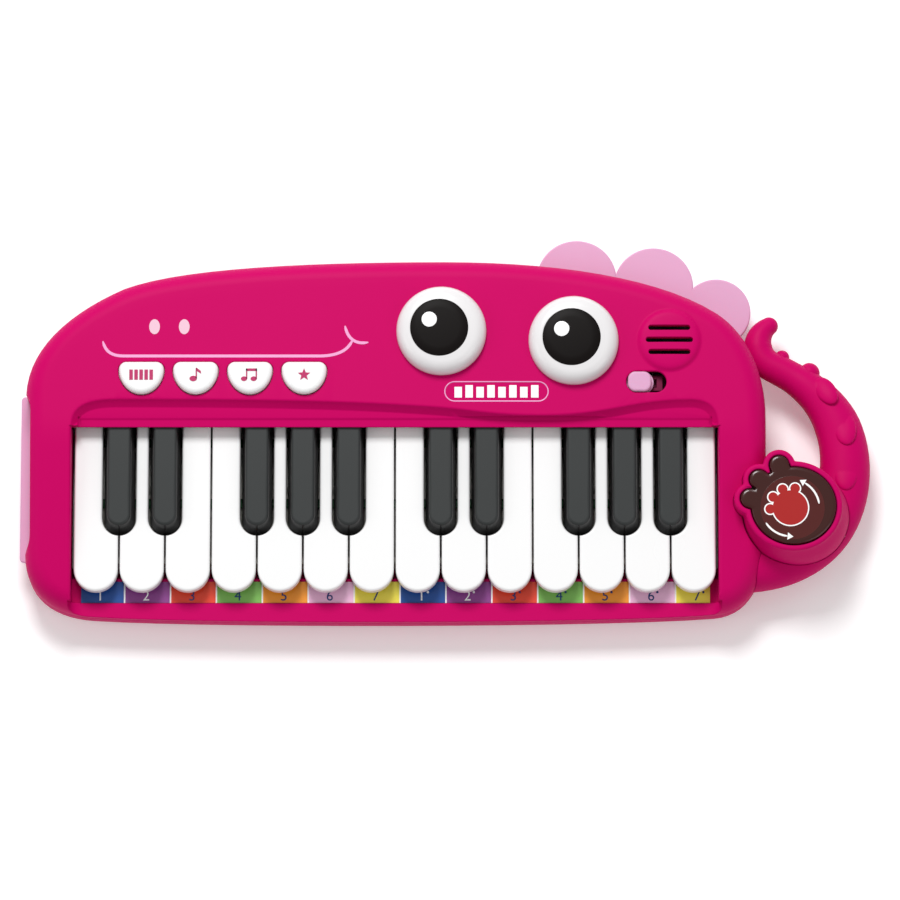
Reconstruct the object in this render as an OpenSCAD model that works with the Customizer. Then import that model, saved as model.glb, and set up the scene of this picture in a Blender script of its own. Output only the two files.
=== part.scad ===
// Toy electronic keyboard: twenty-four mini keys in a dinosaur-shaped case with a tail for a handle.
// +X runs along the keys to the treble end, +Y away from the player, +Z up from the table.
// The origin is on the table, under the middle of the outer box.

/* [Keys] */
// Spacing of the white keys
white_pitch = 21; // [20.9:0.01:21.05]
// Gap between two white keys
key_gap = 0.9; // [0.7:0.1:1.1]
// Height of the white keys' tops above the table
white_top_z = 27; // [26.8:0.1:27.2]
// Height of the white keys' front walls
white_skirt = 5.8; // [5.4:0.1:6]
// Height of the black keys' tops above the table
black_top_z = 32; // [30:0.1:32]
// Width of a black key at its foot
black_w = 14; // [12.5:0.5:14]
// Width of a black key's top facet
black_top_w = 10.4; // [8:0.2:11]
// Diameter of the steel rod that the keys turn on
pivot_d = 2.5; // [2:0.1:2.6]

/* [Case] */
// Height of the flat top face
top_z = 38; // [37.5:0.1:38.5]
// Height of the cheeks where they reach the front
front_z = 27; // [26:0.5:30]
// Height of the joint between the two shells
part_z = 14; // [13.8:0.1:14]
// Height of the feet
foot_h = 2; // [2:0.1:2]
// Thickness of the shells
wall = 2.2; // [2:0.1:2.4]
// Radius of the case's upper edge
edge_r = 9; // [7:0.5:10]
// Height of the ledge that carries the number strip
ledge_z = 16.4; // [16:0.1:16.4]
// Height of the step behind the keys
step_z = 34.5; // [34.3:0.1:34.8]

/* [Controls] */
// Width of a sound button
button_w = 20.6; // [18:0.1:20.8]
// Depth of a sound button, front to back
button_d = 15; // [13:0.5:15]
// Spacing of the sound buttons
button_pitch = 24.8; // [24:0.1:26]
// Travel of the power switch
switch_travel = 6.3; // [5:0.1:6.4]
// Radius of an eye
eye_r = 20.6; // [19:0.1:20.8]
// Radius of a pupil
pupil_r = 13.3; // [12:0.1:13.5]

/* [Tail handle] */
// Height of the tail's centre line
tail_z = 16; // [16:0.1:16.4]
// Wall of the tail's two halves
tail_wall = 2.2; // [2:0.1:2.4]
// Height of the paw housing's rim
paw_z = 41; // [40:0.5:42]

/* [Hidden] */
$fn = 48;
fit = 0.15;

// Cubic curves [start, first handle, second handle, end]; two points are a straight line.
body_path = [
    [[-192.2, 13], [-191.7, 34], [-174, 51], [-147.7, 62.8]],
    [[-147.7, 62.8], [-121.4, 73], [-60, 75.5], [0, 75.5]],
    [[0, 75.5], [50, 75.5], [98, 68.5], [124.4, 51.4]],
    [[124.4, 51.4], [138, 42.6], [147, 24], [146.6, 2]],
    [[146.6, 2], [146.6, -5]],
    [[146.6, -5], [146.6, -50]],
    [[146.6, -50], [146.6, -70], [140, -85.6], [123, -87]],
    [[123, -87], [70, -91.1], [-110, -91.3], [-161, -88]],
    [[-161, -88], [-180, -86.8], [-192.2, -77.5], [-192.2, -60]],
    [[-192.2, -60], [-192.2, -5]],
    [[-192.2, -5], [-192.2, 13]]
];
// The wavy edge of the step behind the keys.
step_path = [
    [[-171, -3], [-171, 6], [-165, 9.6], [-150, 9.6]],
    [[-150, 9.6], [-80, 9.6], [-40, 8.5], [-5, 6]],
    [[-5, 6], [12, 4.8], [20, 2.2], [44, 2.2]],
    [[44, 2.2], [75, 2.2], [85, 9.5], [112, 9.5]],
    [[112, 9.5], [121, 9.5], [124.7, 5], [124.7, -3]],
    [[124.7, -3], [-171, -3]]
];
// The tail's centre line, from its root to the curl at its tip.
tail_path = [
    [[136, -62], [164, -62], [183.5, -46], [183.5, -17]],
    [[183.5, -17], [183.5, 13], [161.5, 23.5], [150.2, 29.3]],
    [[150.2, 29.3], [141.8, 33.6], [142.5, 44], [149.2, 48.3]]
];
// Half widths of the tail at even steps along that line.
tail_widths = [14.5, 13.8, 13, 12, 11.5, 10.6, 8.7, 7.2, 6.9, 6.8, 6.6, 5.6, 4.2];

keys_x0 = -7 * white_pitch - 23.15;
keys_x1 = keys_x0 + 14 * white_pitch;
well_x0 = keys_x0 - 0.85;
well_x1 = keys_x1 + 0.85;
well_front = -81.6;
panel_edge = -2.5;
lip_z = 18;
key_tip = -77.3;
black_tip = -50.9;
pivot = [20, 17];
pivot_r = pivot_d / 2;
hub_r = 4;
key_back = pivot[0] + hub_r;
notch_r = black_w / 2 + 0.7;
plunger_z = 15.5;
white_row = -28;
black_row = -12;
// Which edges between white keys carry a black key, over two octaves.
black_edges = [1, 2, 4, 5, 6, 8, 9, 11, 12, 13];

button_c = [-139, 26.8 - button_d];
button_top = 41;
switch_c = [88.7, 17.8];
eyes = [[-1.9, 41.3], [58.6, 36.9]];
pupil_shift = [-1, 0.4];
eye_top = 45;
speaker_c = [102.4, 37.1];
speaker_r = 13.2;

pad_c = [158.4, -40.4];
pad_r = 18.2;
toes = [[152, -21.7], [142.8, -28.3], [138.7, -37.1]];
toe_r = 4.8;
pod_c = [160, -42.5];
pod_r = 22.5;
rim_w = 2.6;
pan_z = 7;

lobes = [[60.6, 70.35, 18.4], [96.1, 67, 18.3], [125, 54.7, 15.8]];
plate_h = 2.2;
trim_y = [-63, 15];
recess_x = -189.8;

bay = [-74.3, 34.3, 32.3, 66.9];
bay_top = 19.4;
cell_r = 7.25;
cell_l = 50.5;
cell_rows = [42.1, 57.1];
door_end = 44;
door_screw = [38.9, 49.6];
door_h = 2;

board = [-158, -45, 9, 40];
board_z = 29;
case_screw_at = [[-181, -66], [-181, 5], [-148, 46], [-88, 62], [52, 62], [127, 29], [137, 2], [133, -76]];
feet_at = [[-172, -71], [124, -71], [-165, 30], [114, 38]];
rail_x = [well_x0 - 3.5, well_x1 + 3];
rib_x = [rail_x[0] + 1.2, keys_x0 + 3 * white_pitch, keys_x0 + 7 * white_pitch,
    keys_x0 + 10 * white_pitch, rail_x[1] - 1.2];
chassis_posts = [for (x = [-150, -62, 28, 108]) [x, -48]];
board_posts = [[board[0] + 4, board[2] + 26], [board[1] - 4, board[2] + 26],
    [board[0] + 4, board[2] + 4], [board[1] - 4, board[2] + 4]];

pink = "#d20f69";
pale = "#e8a6ce";

// ---- Curves ----

function bez(s, t) = pow(1 - t, 3) * s[0] + 3 * t * pow(1 - t, 2) * s[1]
    + 3 * t * t * (1 - t) * s[2] + pow(t, 3) * s[3];
function trace(path, n) = [for (s = path) each (len(s) == 2 ? [s[0]] : [for (i = [0:n - 1]) bez(s, i / n)])];
function lerp_list(v, t) = let (k = min(floor(t * (len(v) - 1)), len(v) - 2), f = t * (len(v) - 1) - k)
    v[k] * (1 - f) + v[k + 1] * f;
function unit(v) = v / norm(v);

body_outline = trace(body_path, 9);
step_outline = trace(step_path, 8);

module body_2d(inset = 0) offset(delta = -inset) polygon(body_outline);

module box(x0, x1, y0, y1, z0, z1) translate([x0, y0, z0]) cube([x1 - x0, y1 - y0, z1 - z0]);

module rod_x(x0, x1, y, z, r) translate([x0, y, z]) rotate([0, 90, 0]) cylinder(r = r, h = x1 - x0);

// ---- Case ----

// Lofted forms: rings of the outline, each taken in and at its own height, joined by triangles.
crease_y = -5;
body_n = len(body_outline);
crease_at = [for (i = [0:body_n - 1]) if (body_outline[i][1] == crease_y) i];
function roof(y) = y > crease_y ? top_z : front_z + (top_z - front_z) * (y + 86) / (crease_y + 86);
function inward(i) = let (d = unit(body_outline[(i + 1) % body_n] - body_outline[(i + body_n - 1) % body_n]))
    [d[1], -d[0]];
function level_ring(inset, z) = [for (i = [0:body_n - 1])
    let (p = body_outline[i] + inset * inward(i)) [p[0], p[1], z]];
function roof_ring(inset, drop) = [for (i = [0:body_n - 1])
    let (p = body_outline[i] + inset * inward(i)) [p[0], p[1], roof(p[1]) - drop]];
// Triangles across a flat convex loop, worked in from both ends.
function across(c) = [for (k = [0:len(c) - 3]) let (a = floor(k / 2), b = len(c) - 1 - a)
    k % 2 == 0 ? [c[a], c[a + 1], c[b]] : [c[a + 1], c[b - 1], c[b]]];
function turned(c, k) = [for (i = [0:len(c) - 1]) c[(i + k) % len(c)]];
function reversed(c) = [for (k = [len(c) - 1:-1:0]) c[k]];

module loft(rings) {
    m = len(rings);
    n = body_n;
    o = (m - 1) * n;
    sides = [for (j = [0:m - 2]) for (i = [0:n - 1])
        let (a = j * n + i, b = j * n + (i + 1) % n) each [[a, b, b + n], [a, b + n, a + n]]];
    rear = [for (i = [crease_at[1]:crease_at[0] + n]) o + i % n];
    front = [for (i = [crease_at[0]:crease_at[1]]) o + i];
    base = reversed([for (i = [0:n - 1]) i]);
    polyhedron(points = [for (r = rings) each r],
        faces = concat(sides, across(turned(rear, 6)), across(turned(front, 5)),
            across(turned(base, n - 27))), convexity = 8);
}

// The upper form, flat at the back and falling to the front, taken in by a wall's thickness.
module upper_form(inset, z0)
    loft([level_ring(inset, z0), for (a = [0, 30, 60, 90])
        roof_ring(inset + edge_r * (1 - cos(a)), inset + edge_r * (1 - sin(a)))]);

module lower_form(inset, z1)
    loft([for (a = [90, 45, 0]) level_ring(inset + 5 * (1 - cos(a)), foot_h + inset + 5 * (1 - sin(a))),
        level_ring(inset, z1)]);

// What stays solid inside the upper shell: the key well's side walls, the strip's ledge and the step.
module upper_keep() {
    trim_backing();
    for (x = [well_x0 - wall, well_x1]) box(x, x + wall, -92, panel_edge, part_z - 2, top_z + 2);
    box(well_x0 - wall, well_x1 + wall, -92, -70, ledge_z - wall, top_z + 2);
    translate([0, 0, step_z - wall]) linear_extrude(8) offset(delta = 1) polygon(step_outline);
}

module button_2d(grow = 0) {
    w = button_w / 2 + grow;
    r = 3.5 + grow;
    y = button_d - 3.5;
    polygon(concat(
        [for (a = [0:15:90]) [w - r + r * cos(a), y + r * sin(a)]],
        [for (a = [90:15:180]) [-w + r + r * cos(a), y + r * sin(a)]],
        [for (a = [190:10:350]) [w * cos(a), y + (y + grow) * sin(a)]]
    ));
}

module at_button(i) translate([button_c[0] + i * button_pitch, button_c[1], 0]) children();

module slot_x(length, width, z0, z1) {
    for (s = [-1, 1]) translate([s * (length - width) / 2, 0, z0]) cylinder(d = width, h = z1 - z0);
    box(-(length - width) / 2, (length - width) / 2, -width / 2, width / 2, z0, z1);
}

module plate_2d(grow = 0)
    difference() {
        union() {
            for (c = lobes) translate([c[0], c[1]]) circle(r = c[2] + grow);
            translate([-195.1 - grow, trim_y[0] - grow]) square([12, trim_y[1] - trim_y[0] + 2 * grow]);
        }
        body_2d(3.4 + grow);
    }

// Left solid behind the pale bar, so that its recess doesn't open the wall.
module trim_backing() box(-200, recess_x + wall, trim_y[0], trim_y[1], 0, 60);

module top_shell() color(pink)
    difference() {
        union() {
            difference() {
                upper_form(0, part_z);
                difference() {
                    upper_form(wall, part_z - 1);
                    upper_keep();
                }
            }
            for (p = case_screw_at)
                translate([p[0], p[1], part_z]) cylinder(r = 3.4, h = roof(p[1]) - 1.6 - part_z);
            for (p = board_posts)
                translate([p[0], p[1], board_z + 1.6]) cylinder(r = 3, h = top_z - board_z - 3);
            translate([speaker_c[0], speaker_c[1], top_z - 1]) cylinder(r1 = 14.2, r2 = 12.2, h = 2.6);
            translate([speaker_c[0], speaker_c[1], top_z - 4.4])
                difference() {
                    cylinder(r = speaker_r + 1.4, h = 3);
                    translate([0, 0, -1]) cylinder(r = speaker_r + 0.2, h = 5);
                }
        }
        box(well_x0, well_x1, well_front, panel_edge, ledge_z, 60);
        box(well_x0, well_x1, -70, panel_edge, 0, 60);
        box(well_x0 - 1, well_x1 + 1, -95, well_front, lip_z, 60);
        translate([0, 0, step_z]) linear_extrude(20) polygon(step_outline);
        for (i = [0:3]) at_button(i) translate([0, 0, 30]) linear_extrude(20) button_2d(0.3);
        translate([switch_c[0] + switch_travel / 2, switch_c[1], 0]) slot_x(18.4, 9.8, 30, 60);
        for (k = [-1:1]) translate([speaker_c[0], speaker_c[1] + 5.65 * k, 0])
            slot_x(k == 0 ? 21.6 : 19.2, 2.4, 30, 60);
        for (e = eyes) for (a = [90:120:330])
            translate([e[0] + 13 * cos(a), e[1] + 13 * sin(a), 30]) cylinder(r = 2.1, h = 20);
        for (p = case_screw_at) translate([p[0], p[1], 0]) cylinder(r = 1.35, h = part_z + 9);
        for (p = board_posts) translate([p[0], p[1], board_z]) cylinder(r = 1.05, h = 5);
        translate([0, 0, part_z - 1]) linear_extrude(plate_h + 1.1) plate_2d(0.1);
        translate([0, 0, pan_z]) linear_extrude(50) pod_2d(fit);
        box(138, 160, -70, -54, 0, 24);
        translate([0, 35, tail_z]) rod_x(130, 150, 0, 0, 2.6);
        box(-220, recess_x, trim_y[0] + 9, trim_y[1] - 4, 0, 60);
    }

module bottom_shell() color(pink)
    difference() {
        union() {
            difference() {
                lower_form(0, part_z - 0.01);
                difference() {
                    lower_form(wall, part_z + 1);
                    trim_backing();
                }
            }
            box(bay[0] - wall, bay[1] + wall, bay[2] - wall, bay[3] + wall, 3, bay_top + 1.6);
            box(bay[1], door_end + 2, bay[2] - wall, bay[3] + wall, 3, 8);
            translate([door_screw[0], door_screw[1], 5]) cylinder(r = 3.5, h = 7.5);
            for (p = case_screw_at)
                translate([p[0], p[1], foot_h + 1]) cylinder(r = 3.9, h = part_z - foot_h - 1);
            for (p = chassis_posts) translate([p[0], p[1], foot_h + 1]) cylinder(r = 3.5, h = 5);
        }
        box(bay[0], bay[1], bay[2], bay[3], 0, bay_top);
        box(bay[0], door_end + 0.3, bay[2], bay[3], 0, foot_h + door_h + 0.1);
        box(door_screw[0] - 4.6, door_end + 0.3, door_screw[1] - 4.6, door_screw[1] + 4.6, 0, 5.8);
        translate([door_screw[0], door_screw[1], 4]) cylinder(r = 1.5, h = 7.5);
        box(bay[0] - 4, bay[0] + 1, door_screw[1] - 2.4, door_screw[1] + 2.4, 4, 8.6);
        for (p = case_screw_at) translate([p[0], p[1], 0]) {
            cylinder(r = 1.5, h = part_z + 1);
            cylinder(r = 2.7, h = 9);
        }
        for (p = chassis_posts) translate([p[0], p[1], 4.5]) cylinder(r = 1.05, h = 5);
        for (y = cell_rows) box(bay[0] - 4, bay[0] + 1, y - 1.5, y + 1.5, 14, 16);
        box(138, 160, -70, -54, 7.3, 24);
        box(-220, recess_x, trim_y[0] + 9, trim_y[1] - 4, 0, 60);
    }

module dorsal_crest() color(pale)
    translate([0, 0, part_z]) linear_extrude(plate_h) intersection() {
        plate_2d();
        translate([20, 30]) square([160, 80]);
    }

module left_trim() color(pale)
    translate([0, 0, part_z]) linear_extrude(plate_h) intersection() {
        plate_2d();
        translate([-200, -80]) square([20, 120]);
    }

// ---- Tail handle and paw housing ----

module paw_2d(grow) offset(delta = grow) union() {
    translate(pad_c) scale([1.08, 1]) circle(r = pad_r);
    for (t = toes) translate(t) circle(r = toe_r);
}

module pod_2d(grow) offset(delta = grow) union() {
    paw_2d(rim_w);
    translate(pod_c) scale([1.09, 1]) circle(r = pod_r);
}

module pod_form(grow) {
    translate([0, 0, pan_z + 2]) linear_extrude(25) pod_2d(grow);
    translate([0, 0, pan_z + 26]) linear_extrude(paw_z - pan_z - 26) paw_2d(rim_w + grow);
}

tail_n = 12;
tail_line = concat(trace(tail_path, 12), [tail_path[2][3]]);
tail_rings = len(tail_line) - 1;
// Rings past the end of the line that round off the tip, and the turn from one to the next.
tip_rings = 4;
tip_turn = 20;
tail_last = tail_rings + tip_rings;
function tail_dir(i) = unit(tail_line[min(i + 1, tail_rings)] - tail_line[max(i - 1, 0)]);
// One ring of half a tube: the outer arc out, the inner arc back.
function tail_ring(i, side) =
    let (j = min(i, tail_rings), e = tip_turn * (i - j), d = tail_dir(j),
         w0 = lerp_list(tail_widths, j / tail_rings), c = tail_line[j] + d * w0 * sin(e), w = w0 * cos(e),
         h = min(w, 3.5 + 0.55 * w), wi = max(w - tail_wall, 0.3 * w), hi = max(h - tail_wall, 0.3 * h))
    concat(
        [for (k = [0:tail_n]) let (a = 180 * k / tail_n)
            [c[0] + d[1] * w * cos(a), c[1] - d[0] * w * cos(a), tail_z + side * h * sin(a)]],
        [for (k = [tail_n:-1:0]) let (a = 180 * k / tail_n)
            [c[0] + d[1] * wi * cos(a), c[1] - d[0] * wi * cos(a), tail_z + side * hi * sin(a)]]
    );
function flip(f, side) = side > 0 ? f : [f[2], f[1], f[0]];

module tail_half(side) {
    m = 2 * (tail_n + 1);
    pts = [for (i = [0:tail_last]) each tail_ring(i, side)];
    sides = [for (i = [0:tail_last - 1]) for (k = [0:m - 1])
        let (a = i * m + k, b = i * m + (k + 1) % m, c = a + m, d = b + m)
        each [flip([a, b, d], side), flip([a, d, c], side)]];
    caps = [for (e = [0, 1]) for (k = [0:tail_n - 1])
        let (o = e * tail_last * m, a = o + k, b = o + k + 1, c = o + m - 2 - k, d = o + m - 1 - k)
        each [flip(e == 0 ? [a, c, b] : [a, b, c], side), flip(e == 0 ? [a, d, c] : [a, c, d], side)]];
    polyhedron(points = pts, faces = concat(sides, caps), convexity = 8);
}

// The case's own volume with a little room, cut out of the tail where they meet.
module case_cut() {
    upper_form(-0.12, part_z - 0.1);
    lower_form(-0.12, part_z);
}

module tail_upper() color(pink)
    difference() {
        union() {
            tail_half(1);
            box(140, 150, -69.8, -54.2, tail_z, 22);
            box(147, 150, -72, -50, tail_z, 22.4);
            rod_x(134, 146, 35, tail_z, 2.4);
        }
        difference() {
            case_cut();
            box(130, 160, -69.8, -54.2, 5, 22);
            rod_x(130, 150, 35, tail_z, 2.41);
        }
        translate([0, 0, -0.05]) pod_form(fit);
        box(120, 200, -90, 60, 0, tail_z);
    }

module tail_lower() color(pink) {
    difference() {
        union() {
            tail_half(-1);
            box(140, 150, -69.8, -54.2, 7.5, tail_z);
            box(147, 150, -72, -50, 9.6, tail_z);
        }
        difference() {
            case_cut();
            box(130, 160, -69.8, -54.2, 7.5, 22);
        }
        translate([0, 0, -0.05]) pod_form(fit);
        box(130, 200, -90, 60, tail_z, 30);
    }
    translate([0, 0, pan_z]) linear_extrude(1.9) difference() {
        pod_2d(0);
        body_2d(-0.12);
    }
    for (p = [[156, -32], [156, -50], [168, -41]])
        translate([p[0], p[1], pan_z + 1]) cylinder(r = 2.6, h = 12);
}

module paw_bezel() color(pink)
    difference() {
        intersection() {
            pod_form(0);
            box(100, 220, -90, 20, pan_z + 2, 60);
        }
        translate([0, 0, 5]) linear_extrude(25) pod_2d(-wall);
        translate([0, 0, 5]) linear_extrude(paw_z - 7.6) paw_2d(1.7);
        translate([0, 0, 5]) linear_extrude(60) paw_2d(0.01);
        translate([0, 0, 5]) linear_extrude(part_z - 4.9) body_2d(-0.12);
        box(120, 142, -34, -26, 16, 28);
    }

module paw_button() color("#3a2320") {
    translate([0, 0, paw_z - 7.5]) linear_extrude(8.8) paw_2d(-0.3);
    translate([0, 0, paw_z - 5]) linear_extrude(2.2) paw_2d(1.3);
}

module paw_insert() color("#b12423")
    translate([0, 0, paw_z - 9.5]) linear_extrude(2) translate([1.5, -1]) {
        translate(pad_c) circle(r = 8);
        for (t = toes) translate(pad_c + (t - pad_c) * 0.42) circle(r = 2.6);
    }

module paw_board() {
    color("#1f6b3a") translate([pad_c[0] + 2, pad_c[1], pan_z + 13]) cylinder(r = 15, h = 1.6);
    color("#202020") box(pad_c[0] - 3, pad_c[0] + 3, pad_c[1] - 3, pad_c[1] + 3, pan_z + 14.6, pan_z + 22.8);
    color("#f0f0e0") for (s = [-9, 9])
        translate([pad_c[0] + 2, pad_c[1] + s, pan_z + 14.6]) cylinder(r = 2.5, h = 6);
}

// ---- Face: eyes, grille parts, buttons and switch ----

module eye(e) color("white") {
    translate([e[0], e[1], top_z]) rotate_extrude() polygon(concat(
        [[0, 0], [eye_r, 0], [eye_r, 1]],
        [for (a = [10:10:90]) [eye_r - 6 + 6 * cos(a), 1 + (eye_top - top_z - 1) * sin(a)]],
        [[0, eye_top - top_z]]
    ));
    for (a = [90:120:330])
        translate([e[0] + 13 * cos(a), e[1] + 13 * sin(a), top_z - 4]) cylinder(r = 2, h = 5);
}

module pupils() color("#1e1513")
    for (e = eyes)
        translate([e[0] + pupil_shift[0], e[1] + pupil_shift[1], eye_top]) cylinder(r = pupil_r, h = 0.7);

module sound_button(i) color("white") at_button(i) {
    translate([0, 0, top_z - 3.2]) linear_extrude(button_top - top_z + 3.2) button_2d();
    translate([0, 0, top_z - 3.8]) linear_extrude(1.4) button_2d(0.8);
    translate([0, button_d / 2, top_z - 4.6]) cylinder(r = 3, h = 2);
}

module button_pad() color("#d8d8d4") {
    pad_z = board_z + 1.6;
    box(button_c[0] - 9, button_c[0] + 3 * button_pitch + 9,
        button_c[1] + 3, button_c[1] + 12, pad_z, pad_z + 0.9);
    for (i = [0:3]) at_button(i) translate([0, button_d / 2, pad_z]) cylinder(r1 = 4, r2 = 3, h = 2.6);
}

module power_switch_cap() color(pale) translate([switch_c[0], switch_c[1], 0]) {
    translate([0, 0, top_z - 4]) linear_extrude(5.4)
        offset(r = 3.4) square([10.6 - 6.8, 9.2 - 6.8], center = true);
    translate([-0.85, 0, 0]) slot_x(14.7, 11, top_z - 4.4, top_z - 2.6);
    box(-1.2, 1.2, -1.6, 1.6, top_z - 7.8, top_z - 4);
}

module slide_switch() translate([switch_c[0] + switch_travel / 2, switch_c[1], 0]) {
    color("silver") difference() {
        box(-7.5, 7.5, -3.4, 3.4, top_z - 8.8, top_z - 4.8);
        box(-4.8, 4.8, -2, 2, top_z - 8.1, top_z - 4);
    }
    color("#1f6b3a") box(-9, 9, -5, 5, top_z - 10, top_z - 8.8);
}

module speaker_frame() translate([speaker_c[0], speaker_c[1], 0]) {
    color("silver") translate([0, 0, 18]) rotate_extrude() polygon([
        [0, 7], [7, 7], [7, 6.4], [8, 6.4], [11.5, 15.2], [speaker_r, 15.2], [speaker_r, 16.6],
        [10.9, 16.6], [7.6, 8], [0, 8]]);
    color("#303030") translate([0, 0, 19]) cylinder(r = 8, h = 6.2);
}

module speaker_cone() color("#2b2b2b") translate([speaker_c[0], speaker_c[1], 27]) rotate_extrude()
    polygon([[0, 1.2], [3, 2], [4, 0.4], [9.6, 6.6], [10.4, 7.7], [11.6, 7.7], [11.6, 8.3],
        [10, 8.3], [9.2, 7.4],
        [4.2, 1.6], [3, 3.2], [0, 2.4]]);

// ---- Keys ----

function black_at(k) = len(search(k, black_edges)) > 0;
function edge_x(k) = keys_x0 + k * white_pitch;
function neck_x0(i) = black_at(i) ? edge_x(i) + notch_r : edge_x(i) + key_gap / 2;
function neck_x1(i) = black_at(i + 1) ? edge_x(i + 1) - notch_r : edge_x(i + 1) - key_gap / 2;

module notch_2d(k) {
    translate([edge_x(k), black_tip + black_w / 2]) circle(r = notch_r);
    translate([edge_x(k) - notch_r, black_tip + black_w / 2]) square([2 * notch_r, 90]);
}

module white_2d(i) {
    w = white_pitch - key_gap;
    difference() {
        union() {
            translate([edge_x(i) + white_pitch / 2, key_tip + w / 2]) circle(r = w / 2);
            translate([edge_x(i) + key_gap / 2, key_tip + w / 2]) square([w, key_back - key_tip - w / 2]);
        }
        if (black_at(i)) notch_2d(i);
        if (black_at(i + 1)) notch_2d(i + 1);
    }
}

module hub(x, z1) {
    rod_x(x - 2, x + 2, pivot[0], pivot[1], hub_r);
    box(x - 2, x + 2, pivot[0] - hub_r, key_back, pivot[1], z1);
}

module white_key(i) color("white") {
    neck = (neck_x0(i) + neck_x1(i)) / 2;
    difference() {
        union() {
            difference() {
                translate([0, 0, white_top_z - white_skirt]) linear_extrude(white_skirt) white_2d(i);
                translate([0, 0, white_top_z - white_skirt - 1]) linear_extrude(white_skirt - 0.8)
                    offset(delta = -1.4) white_2d(i);
            }
            hub(neck, white_top_z - 1);
            translate([neck, white_row, plunger_z]) cylinder(r = 2, h = white_top_z - plunger_z - 1);
        }
        rod_x(neck - 3, neck + 3, pivot[0], pivot[1], pivot_r + 0.05);
    }
}

module stadium_2d(w, tip, back)  {
    translate([0, tip + w / 2]) circle(r = w / 2);
    translate([-w / 2, tip + w / 2]) square([w, back - tip - w / 2]);
}

module black_key(i) color("#2c2f2f") {
    foot_z = 22;
    translate([edge_x(black_edges[i]), 0, 0]) difference() {
        union() {
            difference() {
                hull() {
                    translate([0, 0, foot_z])
                        linear_extrude(4.5, $fn = 32) stadium_2d(black_w, black_tip, key_back);
                    translate([0, 0, black_top_z - 0.01]) linear_extrude(0.01, $fn = 32)
                        stadium_2d(black_top_w, black_tip + 3.6, key_back);
                }
                box(-10, 10, 0.5, 40, 26, 40);
                box(-3.8, 3.8, black_tip + 8, -1.5, foot_z - 1, black_top_z - 2);
            }
            hub(0, foot_z + 2);
            translate([0, black_row, plunger_z]) cylinder(r = 2, h = black_top_z - plunger_z - 1);
        }
        rod_x(-3, 3, pivot[0], pivot[1], pivot_r + 0.05);
    }
}

module number_strip() color("#f0e060") box(-166.7, 121, well_front + 0.4, -71.4, ledge_z, ledge_z + 0.3);

// ---- Inside: key bed, boards, batteries, wires ----

module key_chassis() color("#d9d9d2")
    difference() {
        union() {
            box(rail_x[0], rail_x[1], -64, 26, 8, 10);
            box(well_x0 + 2, well_x1 - 2, -63, -60, 9, 17);
            for (x = rib_x) box(x - 1.2, x + 1.2, pivot[0] - 3.5, pivot[0] + 3.5, 9, pivot[1] + 3.3);
        }
        rod_x(rail_x[0] - 1, rail_x[1] + 1, pivot[0], pivot[1], pivot_r + 0.02);
        for (p = chassis_posts) translate([p[0], p[1], 5]) cylinder(r = 1.3, h = 8);
    }

module key_pivot_rod() color("silver") rod_x(rail_x[0] - 0.5, rail_x[1] + 0.5, pivot[0], pivot[1], pivot_r);

module key_contact_board() color("#1f6b3a") box(well_x0 + 3, well_x1 - 3, -36, -4, 10, 11.6);

module key_rubber_strip() color("#cfcfca") {
    box(well_x0 + 5, well_x1 - 5, -32, -8, 11.6, 12.4);
    for (i = [0:13])
        translate([(neck_x0(i) + neck_x1(i)) / 2, white_row, 12]) cylinder(r1 = 3.6, r2 = 2.4, h = 3.3);
    for (k = black_edges) translate([edge_x(k), black_row, 12]) cylinder(r1 = 3.6, r2 = 2.4, h = 3.3);
}

module main_board() {
    color("#1f6b3a") difference() {
        box(board[0], board[1], board[2], board[3], board_z, board_z + 1.6);
        for (p = board_posts) translate([p[0], p[1], board_z - 1]) cylinder(r = 1.3, h = 4);
    }
    color("#151515") translate([-110, 33, board_z + 1.6]) cylinder(r1 = 5.5, r2 = 3.5, h = 1.5);
    color("#303030") for (x = [-140, -128]) translate([x, 33, board_z + 1.6]) cylinder(r = 2.5, h = 3.2);
    color("#f4f4ee") box(-84, -72, 30, 36, board_z + 1.6, board_z + 4.6);
}

module batteries()
    for (y = cell_rows) for (k = [0, 1]) {
        x = -70.5 + k * cell_l;
        color("#3f7a4c") rod_x(x, x + cell_l - 1.4, y, foot_h + door_h + 0.35 + cell_r, cell_r);
        color("silver") rod_x(x + cell_l - 1.5, x + cell_l - 0.05, y, foot_h + door_h + 0.35 + cell_r, 2.6);
    }

module battery_contacts() color("silver")
    for (y = cell_rows) {
        z = foot_h + door_h + 0.35 + cell_r;
        box(bay[0] + 0.05, bay[0] + 0.6, y - 4.6, y + 4.6, z - 5, z + 5.4);
        for (k = [0:2]) translate([bay[0] + 0.6 + k * 1.05, y, z]) rotate([0, 90, 0])
            difference() {
                cylinder(r = 3.6 - 0.4 * k, h = 1.0);
                translate([0, 0, -0.1]) cylinder(r = 2.7 - 0.4 * k, h = 1.2);
            }
        box(bay[1] - 0.6, bay[1] - 0.05, y - 4.6, y + 4.6, z - 5, z + 5.4);
        rod_x(30.6, bay[1] - 0.55, y, z, 2.4);
    }

module battery_door() color(pink)
    difference() {
        union() {
            box(bay[0] + 0.3, door_end, bay[2] + 0.3, bay[3] - 0.3, foot_h, foot_h + door_h);
            translate([door_screw[0], door_screw[1], foot_h]) cylinder(r = 4.3, h = 3.6);
            box(bay[0] + 0.3, bay[0] + 2.3, door_screw[1] - 2, door_screw[1] + 2, foot_h + 1, foot_h + 3.3);
            box(bay[0] - 1.8, bay[0] + 2.3, door_screw[1] - 2, door_screw[1] + 2, foot_h + 2.1, foot_h + 3.3);
        }
        translate([door_screw[0], door_screw[1], 0]) {
            cylinder(r = 1.3, h = 10);
            cylinder(r = 2.6, h = 4);
        }
        for (k = [0:4]) box(24 - 3 * k, 25.2 - 3 * k, 42, 57.2, foot_h - 1, foot_h + 0.6);
    }

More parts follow.
